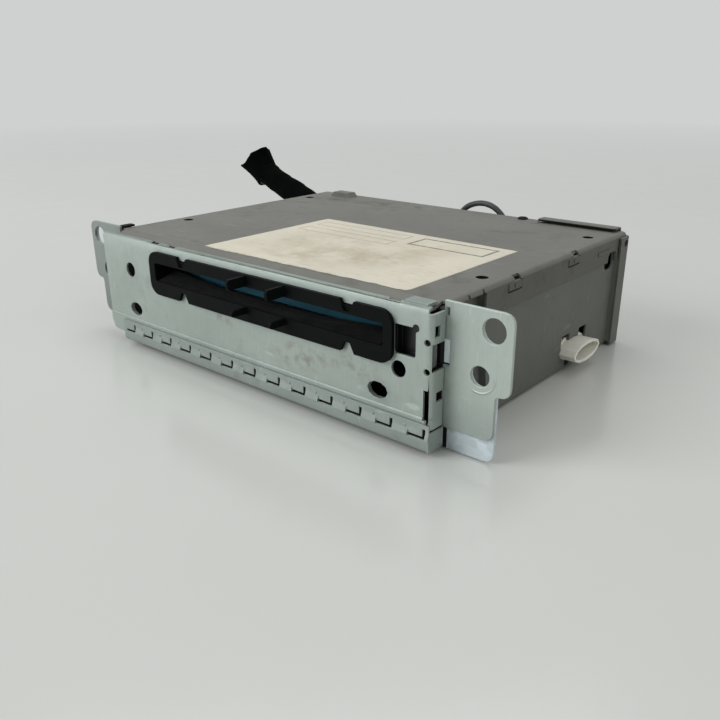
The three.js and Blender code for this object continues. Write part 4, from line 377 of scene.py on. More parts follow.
def zinc(name, colour, roughness, metallic, spangle, cell, dirt, streak, wear=0.2):
    """Zinc plated sheet: crystal spangle, drifting tone, fine drawing lines, dirt and rubbed edges."""
    f = Finish(name, colour, roughness, metallic)
    crystals = f.cells(cell)
    f.shade(f.band(crystals, 0, 1, 1 - spangle, 1 + spangle))
    f.shade(f.band(f.noise(26, 4), 0.3, 0.7, 0.92, 1.07))
    lines = f.noise(95, 6, f.stretched(streak), 0.7)
    f.shade(f.band(lines, 0.3, 0.7, 0.955, 1.045))
    scratch = f.band(f.noise(34, 2, f.stretched((1, 22, 3), (0, 0, 27))), 0.675, 0.7)
    fine = f.band(f.noise(60, 2, f.stretched((19, 1, 2), (0, 12, 9))), 0.69, 0.705)
    marks = f.maths("MAXIMUM", scratch, fine)
    f.shade(f.maths("ADD", 1.0, f.maths("MULTIPLY", marks, 0.16)))
    grime = f.maths("MULTIPLY", f.band(f.noise(48, 7, roughness=0.72), 0.56, 0.74), dirt)
    f.paint(grime, tuple(c * 0.62 for c in colour))
    specks = f.maths("MULTIPLY", f.band(f.noise(900, 2), 0.72, 0.78), dirt)
    f.paint(specks, tuple(c * 0.45 for c in colour))
    f.rough(crystals, 0.10)
    f.rough(lines, 0.12)
    f.rough(grime, 0.25)
    f.rough(marks, -0.1)
    f.worn_edges(0.45, wear)
    f.height(f.noise(1500, 3), 0.010)
    f.height(lines, 0.012)
    f.height(marks, -0.02)
    return f


def stained(f, spots, axes, core, scale, edge, strength, colour):
    """Blotches in a broken ellipse each: place, half sizes and turn; core is the share that is full."""
    for u, v, long, wide, turn in spots:
        broken = f.band(f.noise(scale, 6), *edge)
        mask = f.maths("MULTIPLY", f.spot(u, v, long, wide, axes, turn, core), broken)
        f.paint(f.maths("MULTIPLY", mask, strength), colour)


def cover_finish():
    """Cover: warm dull zinc with smears, side flanges darkened by painted shade, and painted shade on the
    walls of its holes.
    """
    f = zinc("cover_zinc", (114, 114, 108), 0.5, 0.4, spangle=0.04, cell=210, dirt=0.42, streak=FINE_X)
    smears = [(-30, 58, 40, 7, 6), (-70, 52, 18, 5, 10), (-52, 12, 13, 1.5, 8), (-64, 38, 22, 1.6, 14),
              (-38, 44, 9, 2.2, -12), (52, 40, 14, 4, 24), (20, -60.6, 36, 2.4, 0), (-46, -59.5, 22, 2.2, 0),
              (74, -38, 7, 9, 60)]
    stained(f, smears, "XY", 0.1, 160, (0.42, 0.66), 0.55, (64, 60, 52))
    # painted shade: everything outside this band, the side flanges, is darkened as if less light fell on it
    top_face = f.inside(("X", -88.9, 88.9))
    f.shade(f.maths("ADD", 0.72, f.maths("MULTIPLY", top_face, 0.28)))
    # painted shade on the cover's underside and hole walls, so that its holes look dark
    f.painted_shade(f.inside(("X", -84, 84), ("Y", -60, 60), ("Z", 48.9, 49.88)))
    return f.done(edges=0.2, Specular_IOR_Level=0.35)


def plate_finish():
    """Front plate: drawing smears round the mouth, painted shade on the crease, the top fold band and two
    notches in it, and painted shade where the contact rail covers it.
    """
    f = zinc("plate_zinc", (160, 170, 163), 0.42, 0.5, spangle=0.03, cell=420, dirt=0.3, streak=FINE_X,
             wear=0.1)
    smears = [(-13, 27.4, 2.2, 5, 0), (-8, 24, 4, 3, 20), (33, 21, 20, 7, 8), (58, 24, 12, 6, 0)]
    stained(f, smears, "XZ", 0.1, 210, (0.45, 0.68), 0.6, (118, 108, 92))
    drawn = f.maths("MULTIPLY", f.spot(67.4, 17.2, 9, 6, "XZ", 0, 0.2), f.band(f.noise(260, 4), 0.35, 0.7))
    f.paint(f.maths("MULTIPLY", drawn, 0.35), (90, 92, 90))
    # painted shade that dulls the lit facet of the crease
    crease = f.inside(("Z", 12.5, 13.4), ("Y", -73, -70))
    f.shade(f.maths("SUBTRACT", 1.0, f.maths("MULTIPLY", crease, 0.2)))
    # painted shade on the band along the top fold
    f.shade(f.band(f.axis("Z"), 0.0478, 0.0494, 1.0, 0.74))
    # painted shade in the two notches of the top fold
    for low, high in ((-55.2, -50.6), (-43.2, -39.6)):
        f.painted_shade(f.inside(("X", low, high), ("Z", 49.3, 51)))
    # painted shade behind the contact rail, so that its slits look dark
    f.painted_shade(f.inside(("X", -79.4, 88.4), ("Z", 3, 10.8), ("Y", -73, -66)))
    return f.done()


def ear_finish():
    """Mounting frame: pressed arc with a faint painted highlight beside the lower right hole, left ear
    darker, darker towards the bottom, and painted shade behind the front plate.
    """
    f = zinc("ear_zinc", (172, 182, 175), 0.42, 0.5, spangle=0.03, cell=420, dirt=0.26, streak=FINE_X)
    hole_x, hole_z, arc_radius = 101.8, 29.2, 5.5
    u = f.maths("SUBTRACT", f.axis("X"), hole_x * MM)
    v = f.maths("SUBTRACT", f.axis("Z"), hole_z * MM)
    away = f.maths("SQRT", f.maths("ADD", f.maths("MULTIPLY", u, u), f.maths("MULTIPLY", v, v)))
    ring = f.band(f.maths("ABSOLUTE", f.maths("SUBTRACT", away, arc_radius * MM)), 0.00012, 0.00045, 1.0, 0.0)
    low_right = f.band(f.maths("SUBTRACT", f.maths("MULTIPLY", u, 0.8), v), 0.002, 0.0045)
    arc = f.maths("MULTIPLY", ring, low_right)
    f.height(arc, 0.16)
    # painted highlight along the pressed arc
    f.shade(f.maths("ADD", 1.0, f.maths("MULTIPLY", arc, 0.05)))
    # left ear darker
    left_ear = f.inside(("X", -114, -88))
    f.shade(f.maths("SUBTRACT", 1.0, f.maths("MULTIPLY", left_ear, 0.34)))
    # darker towards the bottom
    f.shade(f.band(f.axis("Z"), 0.008, 0.026, 0.8, 1.0))
    # painted shade behind the front plate, seen through its holes
    f.painted_shade(f.inside(("X", -88.2, 88.2)))
    return f.done()


def bracket_finish():
    """Side brackets: bare zinc with large crystals, and painted shade where the mounting frame covers them,
    reaching a little past it at mid height.
    """
    f = zinc("spangled_zinc", (196, 206, 210), 0.46, 0.4, spangle=0.13, cell=330, dirt=0.6,
             streak=(1, 1, 4))
    # painted shade where the mounting frame covers the brackets
    f.painted_shade(f.inside(("X", -93, 93), ("Y", -64, -60.8), ("Z", 27, 40)))
    f.painted_shade(f.inside(("X", -89.9, 89.9), ("Y", -64, -60.8)))
    return f.done()


def rear_finish():
    """Rear plate: plain zinc, with a strip of painted shade along the front of its roof lip."""
    f = zinc("rear_zinc", (104, 105, 99), 0.5, 0.4, spangle=0.06, cell=210, dirt=0.5, streak=FINE_X)
    # painted shade along the front of the roof lip
    f.painted_shade(f.inside(("Z", 50.1, 51.55), ("Y", 64, 66)), (24, 25, 25))
    return f.done(Specular_IOR_Level=0.35)


def tub_finish():
    """Tub: brushed zinc, with painted shade where the cover lies on its top flange, seen through the cover's
    holes.
    """
    f = zinc("wall_zinc", (107, 109, 103), 0.52, 0.4, spangle=0.05, cell=190, dirt=0.5, streak=FINE_Y)
    # painted shade on the top flange under the cover's holes
    f.painted_shade(f.inside(("Z", 47.4, 49)))
    return f.done()


# ---------------------------------------------------------------- other finishes
def plastic(name, colour, roughness, grain, grain_scale, scuff=0.35, coat=0.0, edges=0.0, **sockets):
    """Moulded plastic: fine grain, soft tone drift, scuffs and dust."""
    f = Finish(name, colour, roughness)
    f.shade(f.band(f.noise(60, 4), 0.3, 0.7, 0.88, 1.14))
    rubs = f.noise(70, 3, f.stretched((1, 9, 9), (8, 20, 31)))
    scuffs = f.maths("MULTIPLY", f.band(rubs, 0.66, 0.72), scuff)
    f.paint(f.maths("MULTIPLY", scuffs, 0.25), tuple(min(255, c + 45) for c in colour))
    dust = f.maths("MULTIPLY", f.band(f.noise(1300, 2), 0.7, 0.76), 0.3)
    f.paint(dust, tuple(min(255, c + 35) for c in colour))
    f.rough(f.noise(130, 5), 0.16)
    f.rough(scuffs, 0.2)
    f.height(f.cells(grain_scale, "SMOOTH_F1", "Distance"), grain)
    f.height(f.noise(420, 3), 0.01)
    return f.done(edges, Coat_Weight=coat, Coat_Roughness=0.25, **sockets)


def felt_finish():
    """Pressed felt: fuzzy nap, dark brown-grey, worn a little paler where discs have rubbed it."""
    f = Finish("felt", (19, 19, 19), 0.95)
    f.shade(f.band(f.noise(240, 6), 0.3, 0.7, 0.6, 1.5))
    tracks = f.band(f.noise(30, 5, f.stretched((1, 9, 1))), 0.52, 0.72)
    f.paint(f.maths("MULTIPLY", tracks, 0.4), (36, 32, 30))
    f.paint(f.maths("MULTIPLY", f.band(f.noise(2600, 2), 0.66, 0.74), 0.3), (58, 54, 50))
    f.height(f.noise(2100, 5, roughness=0.7), 0.12)
    f.height(f.noise(5200, 2, f.stretched((1, 3, 1), (0, 0, 38))), 0.05)
    return f.done(Sheen_Weight=0.03, Sheen_Roughness=0.5, Specular_IOR_Level=0.05)


def shutter_finish():
    """Dust shutter: glossy blue-green with dust and wipe marks."""
    f = Finish("shutter_gloss", (50, 98, 114), 0.2)
    f.shade(f.band(f.noise(36, 4), 0.3, 0.7, 0.75, 1.25))
    f.paint(f.maths("MULTIPLY", f.band(f.noise(900, 2), 0.7, 0.76), 0.3), (150, 160, 162))
    wipes = f.noise(40, 5, f.stretched((1, 1, 12)))
    f.rough(wipes, 0.18)
    f.height(wipes, 0.01)
    return f.done(Coat_Weight=0.5, Coat_Roughness=0.12)


def paper_finish():
    """Label paper without print: fibre, yellowed edges, brown stains, scrapes and empty ruled boxes."""
    f = Finish("label_paper", (213, 207, 189), 0.62)
    f.shade(f.band(f.noise(30, 4), 0.3, 0.7, 0.94, 1.04))
    stains = [(26, -38, 26, 15, 12, 0.75), (44, -30, 15, 9, 0, 0.55), (10, -52, 22, 7, -6, 0.7),
              (48, -12, 14, 8, 30, 0.4), (-18, -46, 14, 9, 0, 0.35), (60, -44, 9, 12, 0, 0.45)]
    for x, y, long, wide, turn, deep in stains:
        broken = f.band(f.noise(90, 7, roughness=0.7), 0.4, 0.64)
        stain = f.maths("MULTIPLY", f.spot(x, y, long, wide, "XY", turn), broken)
        f.paint(f.maths("MULTIPLY", stain, deep * 0.62), (150, 133, 102))
    rub = f.band(f.noise(120, 5, f.stretched((1, 5, 1), (0, 0, 18))), 0.6, 0.7)
    f.paint(f.maths("MULTIPLY", rub, 0.45), (158, 148, 126))
    broken = f.band(f.noise(38, 8, roughness=0.75), 0.42, 0.62)
    brown = f.maths("MULTIPLY", f.spot(18, -26, 46, 34, "XY", 20), broken)
    f.paint(f.maths("MULTIPLY", brown, 0.5), (160, 144, 114))
    scrapes = f.band(f.noise(210, 4, f.stretched((1, 16, 1), (0, 0, -38))), 0.66, 0.7)
    f.paint(f.maths("MULTIPLY", scrapes, 0.5), (226, 223, 210))
    near_edge = f.band(f.axis("Y"), -0.0600, -0.0632)
    dirty = f.maths("MULTIPLY", near_edge, f.band(f.noise(180, 5), 0.4, 0.6))
    f.paint(f.maths("MULTIPLY", dirty, 0.6), (150, 138, 112))
    for x0, x1, y0, y1, line in [(30, 66, -8, 5, 1.3), (-26, 24, -2, 5, 0.4), (-26, 24, -14, -7, 0.4)]:
        f.paint(f.maths("MULTIPLY", ruled_box(f, x0, x1, y0, y1, line), 0.72), (58, 58, 56))
    f.rough(f.noise(300, 4), 0.2)
    f.height(f.noise(1800, 4), 0.02)
    f.height(f.noise(70, 3), 0.06)
    return f.done()


def ruled_box(f, x0, x1, y0, y1, line):
    """Mask of an empty rectangle drawn with a line of that width, in mm."""
    def share(half_x, half_y):
        shares = []
        for axis, middle, half in (("X", (x0 + x1) / 2, half_x), ("Y", (y0 + y1) / 2, half_y)):
            away = f.maths("ABSOLUTE", f.maths("SUBTRACT", f.axis(axis), middle * MM))
            shares.append(f.maths("DIVIDE", away, half * MM))
        return f.maths("MAXIMUM", *shares)
    half_x, half_y = (x1 - x0) / 2, (y1 - y0) / 2
    outer = f.maths("LESS_THAN", share(half_x, half_y), 1.0)
    inner = f.maths("LESS_THAN", share(half_x - line, half_y - line), 1.0)
    faded = f.band(f.noise(260, 3), 0.3, 0.5, 0.55, 1.0)
    return f.maths("MULTIPLY", f.maths("SUBTRACT", outer, inner), faded)


def board_finish():
    """Circuit board: green lacquer with tracks and vias below, dark chip bodies above."""
    f = Finish("board_lacquer", (30, 78, 52), 0.4)
    tracks = f.band(f.cells(420, "F1", "Distance"), 0.36, 0.42)
    f.paint(f.maths("MULTIPLY", tracks, 0.5), (58, 112, 78))
    vias = f.band(f.cells(620, "F1", "Distance"), 0.16, 0.1)
    f.paint(vias, (168, 160, 132))
    board_top = 9.35
    chips = f.maths("GREATER_THAN", f.axis("Z"), board_top * MM)
    f.paint(chips, (28, 29, 31))
    f.shade(f.band(f.noise(80, 4), 0.3, 0.7, 0.85, 1.12))
    f.rough(f.noise(160, 4), 0.2)
    f.height(tracks, 0.02)
    return f.done()


def tape_finish():
    """Cloth harness tape: woven, matt, with lighter rubbed threads."""
    f = Finish("cloth_tape", (5, 6, 6), 0.82)
    threads = [f.noise(1500, 1, f.stretched(stretch)) for stretch in ((1, 0.2, 1), (0.2, 1, 1))]
    weave = f.maths("MULTIPLY", *threads)
    f.shade(f.band(f.noise(90, 5), 0.3, 0.7, 0.6, 1.5))
    f.paint(f.maths("MULTIPLY", f.band(f.noise(140, 5), 0.62, 0.74), 0.25), (14, 14, 13))
    f.rough(f.noise(200, 4), 0.15)
    f.height(weave, 0.12)
    f.height(f.noise(600, 3), 0.05)
    return f.done(Specular_IOR_Level=0.03)


def cable_finish():
    """Smooth grey cable jacket."""
    f = Finish("cable_jacket", (50, 54, 54), 0.46)
    f.shade(f.band(f.noise(120, 4), 0.3, 0.7, 0.8, 1.2))
    f.rough(f.noise(300, 4), 0.18)
    f.height(f.noise(900, 3), 0.02)
    return f.done()


def metal(name, colour, roughness):
    """Plain turned or drawn metal with fine lines."""
    f = Finish(name, colour, roughness, 0.95)
    lines = f.noise(160, 5, f.stretched((1, 1, 12)), 0.7)
    f.shade(f.band(lines, 0.3, 0.7, 0.9, 1.08))
    f.shade(f.band(f.noise(45, 4), 0.3, 0.7, 0.9, 1.06))
    f.rough(lines, 0.16)
    f.height(lines, 0.012)
    return f.done()


cover = cover_finish()
plate = plate_finish()
ear_zinc = ear_finish()
rail_zinc = zinc("rail_zinc", (150, 159, 153), 0.4, 0.55, 0.03, 500, 0.4, (16, 1, 1), 0.22).done()
wall = tub_finish()
spangled = bracket_finish()
rear_zinc = rear_finish()
tin = zinc("tin_sheet", (168, 172, 172), 0.36, 0.9, 0.04, 380, 0.2, (12, 1, 1)).done()
spring = metal("spring_steel", (128, 132, 128), 0.34)
polished = metal("polished_steel", (186, 190, 192), 0.2)
aluminium = metal("aluminium", (178, 180, 182), 0.4)
brass = metal("brass", (196, 168, 104), 0.32)
black = plastic("bezel_black", (9, 11, 11), 0.5, 0.018, 1100, 0.5, edges=0.3, Specular_IOR_Level=0.07)
gloss_black = plastic("guide_black", (11, 11, 12), 0.28, 0.006, 1400, 0.3, 0.1, Specular_IOR_Level=0.3)
connector = plastic("connector_black", (17, 18, 19), 0.5, 0.02, 900, Specular_IOR_Level=0.3)
fan_black = plastic("fan_black", (19, 20, 21), 0.46, 0.012, 1000, Specular_IOR_Level=0.3)
cream = plastic("sleeve_cream", (236, 234, 222), 0.42, 0.006, 1200, 0.5, Subsurface_Weight=0.08,
                Subsurface_Scale=0.002)
blue = plastic("socket_blue", (54, 78, 110), 0.42, 0.012, 1000)
gear_white = plastic("gear_acetal", (208, 203, 190), 0.4, 0.005, 1200, 0.3, Subsurface_Weight=0.06,
                     Subsurface_Scale=0.002)
rubber = plastic("rubber", (20, 20, 21), 0.8, 0.02, 700, 0.6, Specular_IOR_Level=0.25)
felt = felt_finish()
teal = shutter_finish()
paper = paper_finish()
lacquer = board_finish()
tape = tape_finish()
jacket = cable_finish()


# ---------------------------------------------------------------- carried-over nodes
SHARP_FOLD = 33    # degrees


def shading_group():
    """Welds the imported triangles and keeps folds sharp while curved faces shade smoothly."""
    group = bpy.data.node_groups.new("weld_and_shade", "GeometryNodeTree")
    group.interface.new_socket("Geometry", in_out="INPUT", socket_type="NodeSocketGeometry")
    group.interface.new_socket("Geometry", in_out="OUTPUT", socket_type="NodeSocketGeometry")
    made = {kind: group.nodes.new(kind) for kind in (
        "NodeGroupInput", "GeometryNodeMergeByDistance", "GeometryNodeRemoveAttribute", "NodeGroupOutput",
        "GeometryNodeInputMeshEdgeAngle", "FunctionNodeCompare")}
    faces = group.nodes.new("GeometryNodeSetShadeSmooth")
    edges = group.nodes.new("GeometryNodeSetShadeSmooth")
    edges.domain = "EDGE"
    edges.inputs["Shade Smooth"].default_value = False
    made["GeometryNodeMergeByDistance"].inputs["Distance"].default_value = 2e-6
    made["GeometryNodeRemoveAttribute"].inputs["Name"].default_value = "custom_normal"
    made["FunctionNodeCompare"].inputs[1].default_value = math.radians(SHARP_FOLD)
    links = group.links
    links.new(made["GeometryNodeInputMeshEdgeAngle"].outputs[0], made["FunctionNodeCompare"].inputs[0])
    links.new(made["FunctionNodeCompare"].outputs[0], edges.inputs["Selection"])
    chain = [made["NodeGroupInput"], made["GeometryNodeMergeByDistance"],
             made["GeometryNodeRemoveAttribute"], faces, edges, made["NodeGroupOutput"]]
    for a, b in zip(chain, chain[1:]):
        links.new(a.outputs[0], b.inputs[0])
    return group


finishes = {
    cover: ["top_cover"],
    plate: ["front_plate"],
    ear_zinc: ["mounting_frame"],
    rail_zinc: ["contact_rail"],
    wall: ["chassis_tub"],
    spangled: ["side_bracket_right", "side_bracket_left"],
    rear_zinc: ["rear_plate"],
    black: ["slot_bezel"],
    gloss_black: ["window_guide", "cam_slide", "clamp_puck", "turntable", "optical_sled"],
    teal: ["dust_shutter"],
    spring: ["spring_clip"],
    cream: ["side_sleeve"],
    lacquer: ["main_board"],
    aluminium: ["heat_spreader"],
    tin: ["tuner_module", "drive_deck", "drive_bridge", "traverse_plate"],
    connector: ["main_header", "harness_plug", "jumper_plug_1", "jumper_plug_2"],
    blue: ["aerial_socket_1", "aerial_socket_2", "aerial_socket_3"],
    fan_black: ["fan_frame", "fan_rotor"],
    rubber: ["damper_1", "damper_2", "damper_3", "damper_4", "roller_rubber"],
    gear_white: ["roller_gear", "idler_gear", "compound_gear", "disc_lever_left", "disc_lever_right"],
    polished: ["board_screw_1", "board_screw_2", "board_screw_3", "board_screw_4", "roller_shaft",
               "loading_motor", "clamp_arm", "spindle_motor", "guide_rod_front", "guide_rod_rear",
               "lead_screw", "sled_motor"],
    brass: ["motor_worm"],
}
# radius in mm of the edges that are rounded
fine_edges = {
    "front_plate": 0.16, "mounting_frame": 0.2, "side_bracket_right": 0.2, "side_bracket_left": 0.2,
    "chassis_tub": 0.14, "rear_plate": 0.16, "side_sleeve": 0.22, "contact_rail": 0.08, "window_guide": 0.15,
    "main_header": 0.12, "harness_plug": 0.25, "jumper_plug_1": 0.2, "jumper_plug_2": 0.2,
    "aerial_socket_1": 0.12, "aerial_socket_2": 0.12, "aerial_socket_3": 0.12, "fan_frame": 0.15,
    "tuner_module": 0.12, "drive_deck": 0.1, "spring_clip": 0.06,
}
shading = shading_group()
for material, names in finishes.items():
    for name in names:
        node = frame["nodes"][name]
        node.data.materials.clear()
        node.data.materials.append(material)
        node.modifiers.new("shade", "NODES").node_group = shading
        if name in fine_edges:
            soften(node, fine_edges[name], sharp=36)


# ---------------------------------------------------------------- cords
# routes in mm
harness_route = [
    [-64.3, 82.4, 22], [-70.3, 82.4, 22], [-80.3, 82, 25], [-92.3, 81.6, 30.4], [-106.3, 81.2, 36.6],
    [-120.3, 81, 42.6], [-132, 80.7, 47.3], [-143, 80.3, 52.2], [-151, 80, 57], [-157, 80, 63.5]]
jumper_route = [
    [-4, 80.3, 35.3], [-4, 80.3, 39], [-3.4, 79.8, 43], [-1, 79, 47], [3, 78.3, 50.4], [8, 78, 52.4],
    [13, 78, 52.9], [18, 78.3, 51.6], [22, 79, 48.4], [24.8, 79.8, 44], [26, 80.3, 39.5], [26, 80.3, 35.3]]
# sizes in metres
BUNDLE_RADIUS = 0.0070
TAPE_TURN = 0.012
BARE_END = 0.0125
MOUTH_DEPTH = 0.016
WIRE_COUNT = 22
WIRE_RADIUS = 0.0009


def taped_bundle():
    """The harness: a bundle wound with cloth tape, lumpy where the turns overlap, and bare at its cut end."""
    path = smooth_path(harness_route, 14)
    travelled = [0.0]
    for a, b in zip(path, path[1:]):
        travelled.append(travelled[-1] + (b - a).length)

    def radius(i, angle):
        turn = (travelled[i] / TAPE_TURN + angle / math.tau) % 1
        lap = 0.0003 * (1 - turn)
        lump = 0.00035 * noise.noise(Vector((travelled[i] * 160, math.cos(angle), math.sin(angle))))
        oval = 0.0002 * math.cos(2 * angle + travelled[i] * 60)
        return BUNDLE_RADIUS + lap + lump + oval
    last = next(i for i, run in enumerate(travelled) if run > travelled[-1] - BARE_END)
    taped = path[:last + 1]
    return path, taped, tube("harness_tape", taped, radius, 28, tape)


def frayed_end(path):
    """The tape's loose mouth and the three-point lines of the wires that stand in it."""
    along = (path[-1] - path[-12]).normalized()
    side = Vector((0, 1, 0))
    over = along.cross(side)
    start = path[-1] - along * MOUTH_DEPTH
    rings, sides = 18, 48
    points = []
    for i in range(rings):
        t = i / (rings - 1)
        for j in range(sides):
            angle = j / sides * math.tau
            ragged = noise.noise(Vector((math.cos(angle) * 2.4, math.sin(angle) * 2.4, 3.1)))
            fold = 0.35 * math.sin(angle * 3 + 0.6) * t
            flare = 0.0076 + 0.0026 * t ** 1.5 * (1 + fold + 0.5 * ragged)
            reach = 0.0155 * t * (1 + 0.12 * ragged * t)
            outward = side * (flare * math.cos(angle)) + over * (flare * math.sin(angle))
            points.append(start + along * reach + outward)
    mouth = new_mesh("harness_mouth", points, grid_faces(rings, sides, wrap=True), tape)
    thick = mouth.modifiers.new("thickness", "SOLIDIFY")
    thick.thickness = 0.0006
    thick.offset = -1
    lines = []
    for k in range(WIRE_COUNT):
        angle, out = k * 2.4, 0.0009 + 0.0056 * math.sqrt(k / (WIRE_COUNT - 1))
        foot = start + side * (out * math.cos(angle)) + over * (out * math.sin(angle))
        lean = side * math.cos(angle) + over * math.sin(angle)
        reach = 0.0115 + 0.0032 * random.random()
        bend = lean * (0.0003 + 0.0007 * random.random())
        lines.append([foot, foot + along * reach * 0.5 + lean * 0.0002, foot + along * reach + bend])
    return mouth, lines


def wire_bundle(lines):
    """The bare wires' insulation, in five colours."""
    pieces = []
    for k, points in enumerate(lines):
        data = bpy.data.curves.new(f"wire_{k + 1}", "CURVE")
        data.dimensions = "3D"
        spline = data.splines.new("BEZIER")
        spline.bezier_points.add(len(points) - 1)
        for knot, place in zip(spline.bezier_points, points):
            knot.co = place
            knot.handle_left_type = knot.handle_right_type = "AUTO"
        data.bevel_depth = WIRE_RADIUS
        data.bevel_resolution = 3
        data.use_fill_caps = True
        piece = bpy.data.objects.new(f"harness_wire_{k + 1}", data)
        bpy.context.scene.collection.objects.link(piece)
        data.materials.append(insulation[k % len(insulation)])
        pieces.append(piece)
    return pieces


insulation = [plastic(f"insulation_{i}", colour, 0.5, 0.01, 1200) for i, colour in enumerate(
    [(52, 36, 24), (78, 28, 24), (30, 42, 66), (28, 29, 29), (86, 72, 34)], 1)]
whole_path, bundle_path, bundle = taped_bundle()
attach(bundle, "chassis")
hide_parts("harness_stub")
mouth, wire_lines = frayed_end(whole_path)
wires = wire_bundle(wire_lines)
for piece in (mouth, *wires):
    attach(piece, "chassis")


def round_cable(name, route, diameter, material):
    """A plain round cable along a smoothed route in mm."""
    path = smooth_path(route, 4)
    data = bpy.data.curves.new(name, "CURVE")
    data.dimensions = "3D"
    spline = data.splines.new("POLY")
    spline.points.add(len(path) - 1)
    for knot, place in zip(spline.points, path):
        knot.co = (*place, 1)
    data.bevel_depth = diameter / 2
    data.bevel_resolution = 5
    data.use_fill_caps = True
    piece = bpy.data.objects.new(name, data)
    bpy.context.scene.collection.objects.link(piece)
    data.materials.append(material)
    return path, piece


JUMPER_DIAMETER = 0.0028
jumper_path, jumper = round_cable("jumper_cable", jumper_route, JUMPER_DIAMETER, jacket)
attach(jumper, "chassis")
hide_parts("jumper_lead")
ribbed = [(3.05, 0), (3.1, 0.9), (2.5, 1.4), (2.6, 2.0), (2.1, 2.5), (2.2, 3.1), (1.7, 3.7), (1.7, 4.4),
          (1.42, 4.6)]
for number, centre in ((1, (-4, 80.3, 34.2)), (2, (26, 80.3, 34.2))):
    boot = turned(f"jumper_boot_{number}", centre, (0, 0, 1), ribbed, rubber)
    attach(boot, "chassis")


# ---------------------------------------------------------------- felts
FELT_LEFT, FELT_RIGHT, FELT_BACK = -49.7, 69.7, 8.0
# level of the wall it lies on, front edge, and height in the middle and at the ends, in mm
FELT_LOWER, FELT_UPPER = (34.2, -0.6, 0.4, 3.5), (43.0, 0.8, 0.5, 2.0)


def felt_strip(name, low):
    """A wiper that arches across the mouth: thin in the middle, thicker inwards and to both ends."""
    sign = 1 if low else -1
    wall_z, start, middle, end = FELT_LOWER if low else FELT_UPPER
    columns, rows = 15, 190
    points = []
    for i in range(rows):
        share = i / (rows - 1) * 2 - 1
        x = (FELT_LEFT + FELT_RIGHT + (FELT_RIGHT - FELT_LEFT) * share) / 2
        for k in range(columns):
            t = min(max((k - 1) / (columns - 3), 0), 1)
            y = start + (FELT_BACK - start) * t
            tall = min(middle + (end - middle) * share ** 2, middle + (end - middle) * t)
            coarse = 0.10 * noise.noise(Vector((x * 0.9, y * 1.7, 4 + sign)))
            nap = coarse + 0.05 * noise.noise(Vector((x * 3.1, y * 3.0, 9)))
            groove = 0.3 * math.exp(-((y - 4.7) / 0.28) ** 2)
            inner = 0 < k < columns - 1
            height = max(0.12, tall - min(groove, 0.6 * tall) - 0.12 + nap) if inner else 0
            points.append(Vector((x, FRONT + y, wall_z + sign * height)) * MM)
    piece = new_mesh(name, points, grid_faces(rows, columns, wrap=True) + end_caps(rows, columns), felt)
    if low:
        piece.data.flip_normals()
    node = "felt_wiper_lower" if low else "felt_wiper_upper"
    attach(piece, "chassis")
    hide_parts(node)


felt_strip("felt_lower", True)
felt_strip("felt_upper", False)


# ---------------------------------------------------------------- label
LABEL = {"left": -31.0, "right": 71.5, "near": -63.4, "far": 11.0, "corner": 3.0, "corner_cut": 2.6,
         "skew": 2.0}


def label_sheet():
    """Paper label with a wavy front edge and a rounded front corner, lifting a little along that edge."""
    columns, rows = 150, 96
    left, right, near, far, corner_width, corner_cut, slant = LABEL.values()
    points = []
    for i in range(rows):
        v = i / (rows - 1)
        for j in range(columns):
            u = j / (columns - 1)
            x = left + (right - left) * u
            skew = slant * u * (1 - v) - slant * u * v
            wave = 0.8 * noise.noise(Vector((x * 0.16, 1.7, 0)))
            wave += 0.45 * noise.noise(Vector((x * 0.5, 6.1, 0)))
            corner = max(0.0, x - (right - corner_width)) / corner_width
            front_y = near + 1.0 + wave + corner_cut * (1 - math.sqrt(max(0.0, 1 - corner ** 2)))
            y = front_y + (far - front_y) * v + skew * (0.5 if v < 0.5 else 1)
            lift = 0.05 + 0.05 * max(0.0, noise.noise(Vector((x * 0.12, y * 0.12, 2))))
            lift += 0.1 * math.exp(-v * 30) * max(0.0, noise.noise(Vector((x * 0.3, 8, 2))) + 0.2)
            lift += 0.03 * noise.noise(Vector((x * 0.6, y * 0.5, 5)))
            rim = min(v, 1 - v, u, 1 - u) == 0
            points.append(Vector((x, y, TOP + max(0.02, lift) + (0 if rim else 0.02))) * MM)
    piece = new_mesh("label_sheet", points, grid_faces(rows, columns), paper)
    thick = piece.modifiers.new("thickness", "SOLIDIFY")
    thick.thickness = 0.00005
    thick.offset = -1
    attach(piece, "chassis")
    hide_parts("cover_label")


label_sheet()


# ---------------------------------------------------------------- small fittings
def fitted(piece):
    """Small fittings all sit on the case."""
    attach(piece, "chassis")


def head_profile(radius):
    """A domed screw head with a round recess."""
    shares = [(1.25, -0.2), (1.25, 0.25), (1, 0.3), (0.97, 0.8), (0.8, 1.12), (0.48, 1.26), (0.4, 0.8),
              (0.15, 0.62)]
    return [(radius * share, height) for share, height in shares]


for number, (x, z) in enumerate([(-82, 40), (-14, 40), (42, 6), (-66, 5)], 1):
    fitted(turned(f"rear_screw_{number}", (x, BACK, z), (0, 1, 0), head_profile(2.2), polished))
fitted(turned("rubber_stud", (40, 68.2, TOP - 0.1), (0, 0, 1),
              [(2.4, 0), (2.4, 0.3), (2.2, 0.7), (1.7, 1.0), (0.9, 1.15), (0.1, 1.2)], rubber))
# a dark rubber strip along the cover's left edge, behind the ear
left_strip_outline = [(-91.0, 46.6), (-91.0, 50.5), (-90.5, 51.0), (-87.2, 51.0), (-87.2, 50.1), (-89.9, 50.1),
                (-89.9, 46.6)]
fitted(slab("left_edge_strip", left_strip_outline, -62.8, -57.2, rubber, "y", bevel=0.12))
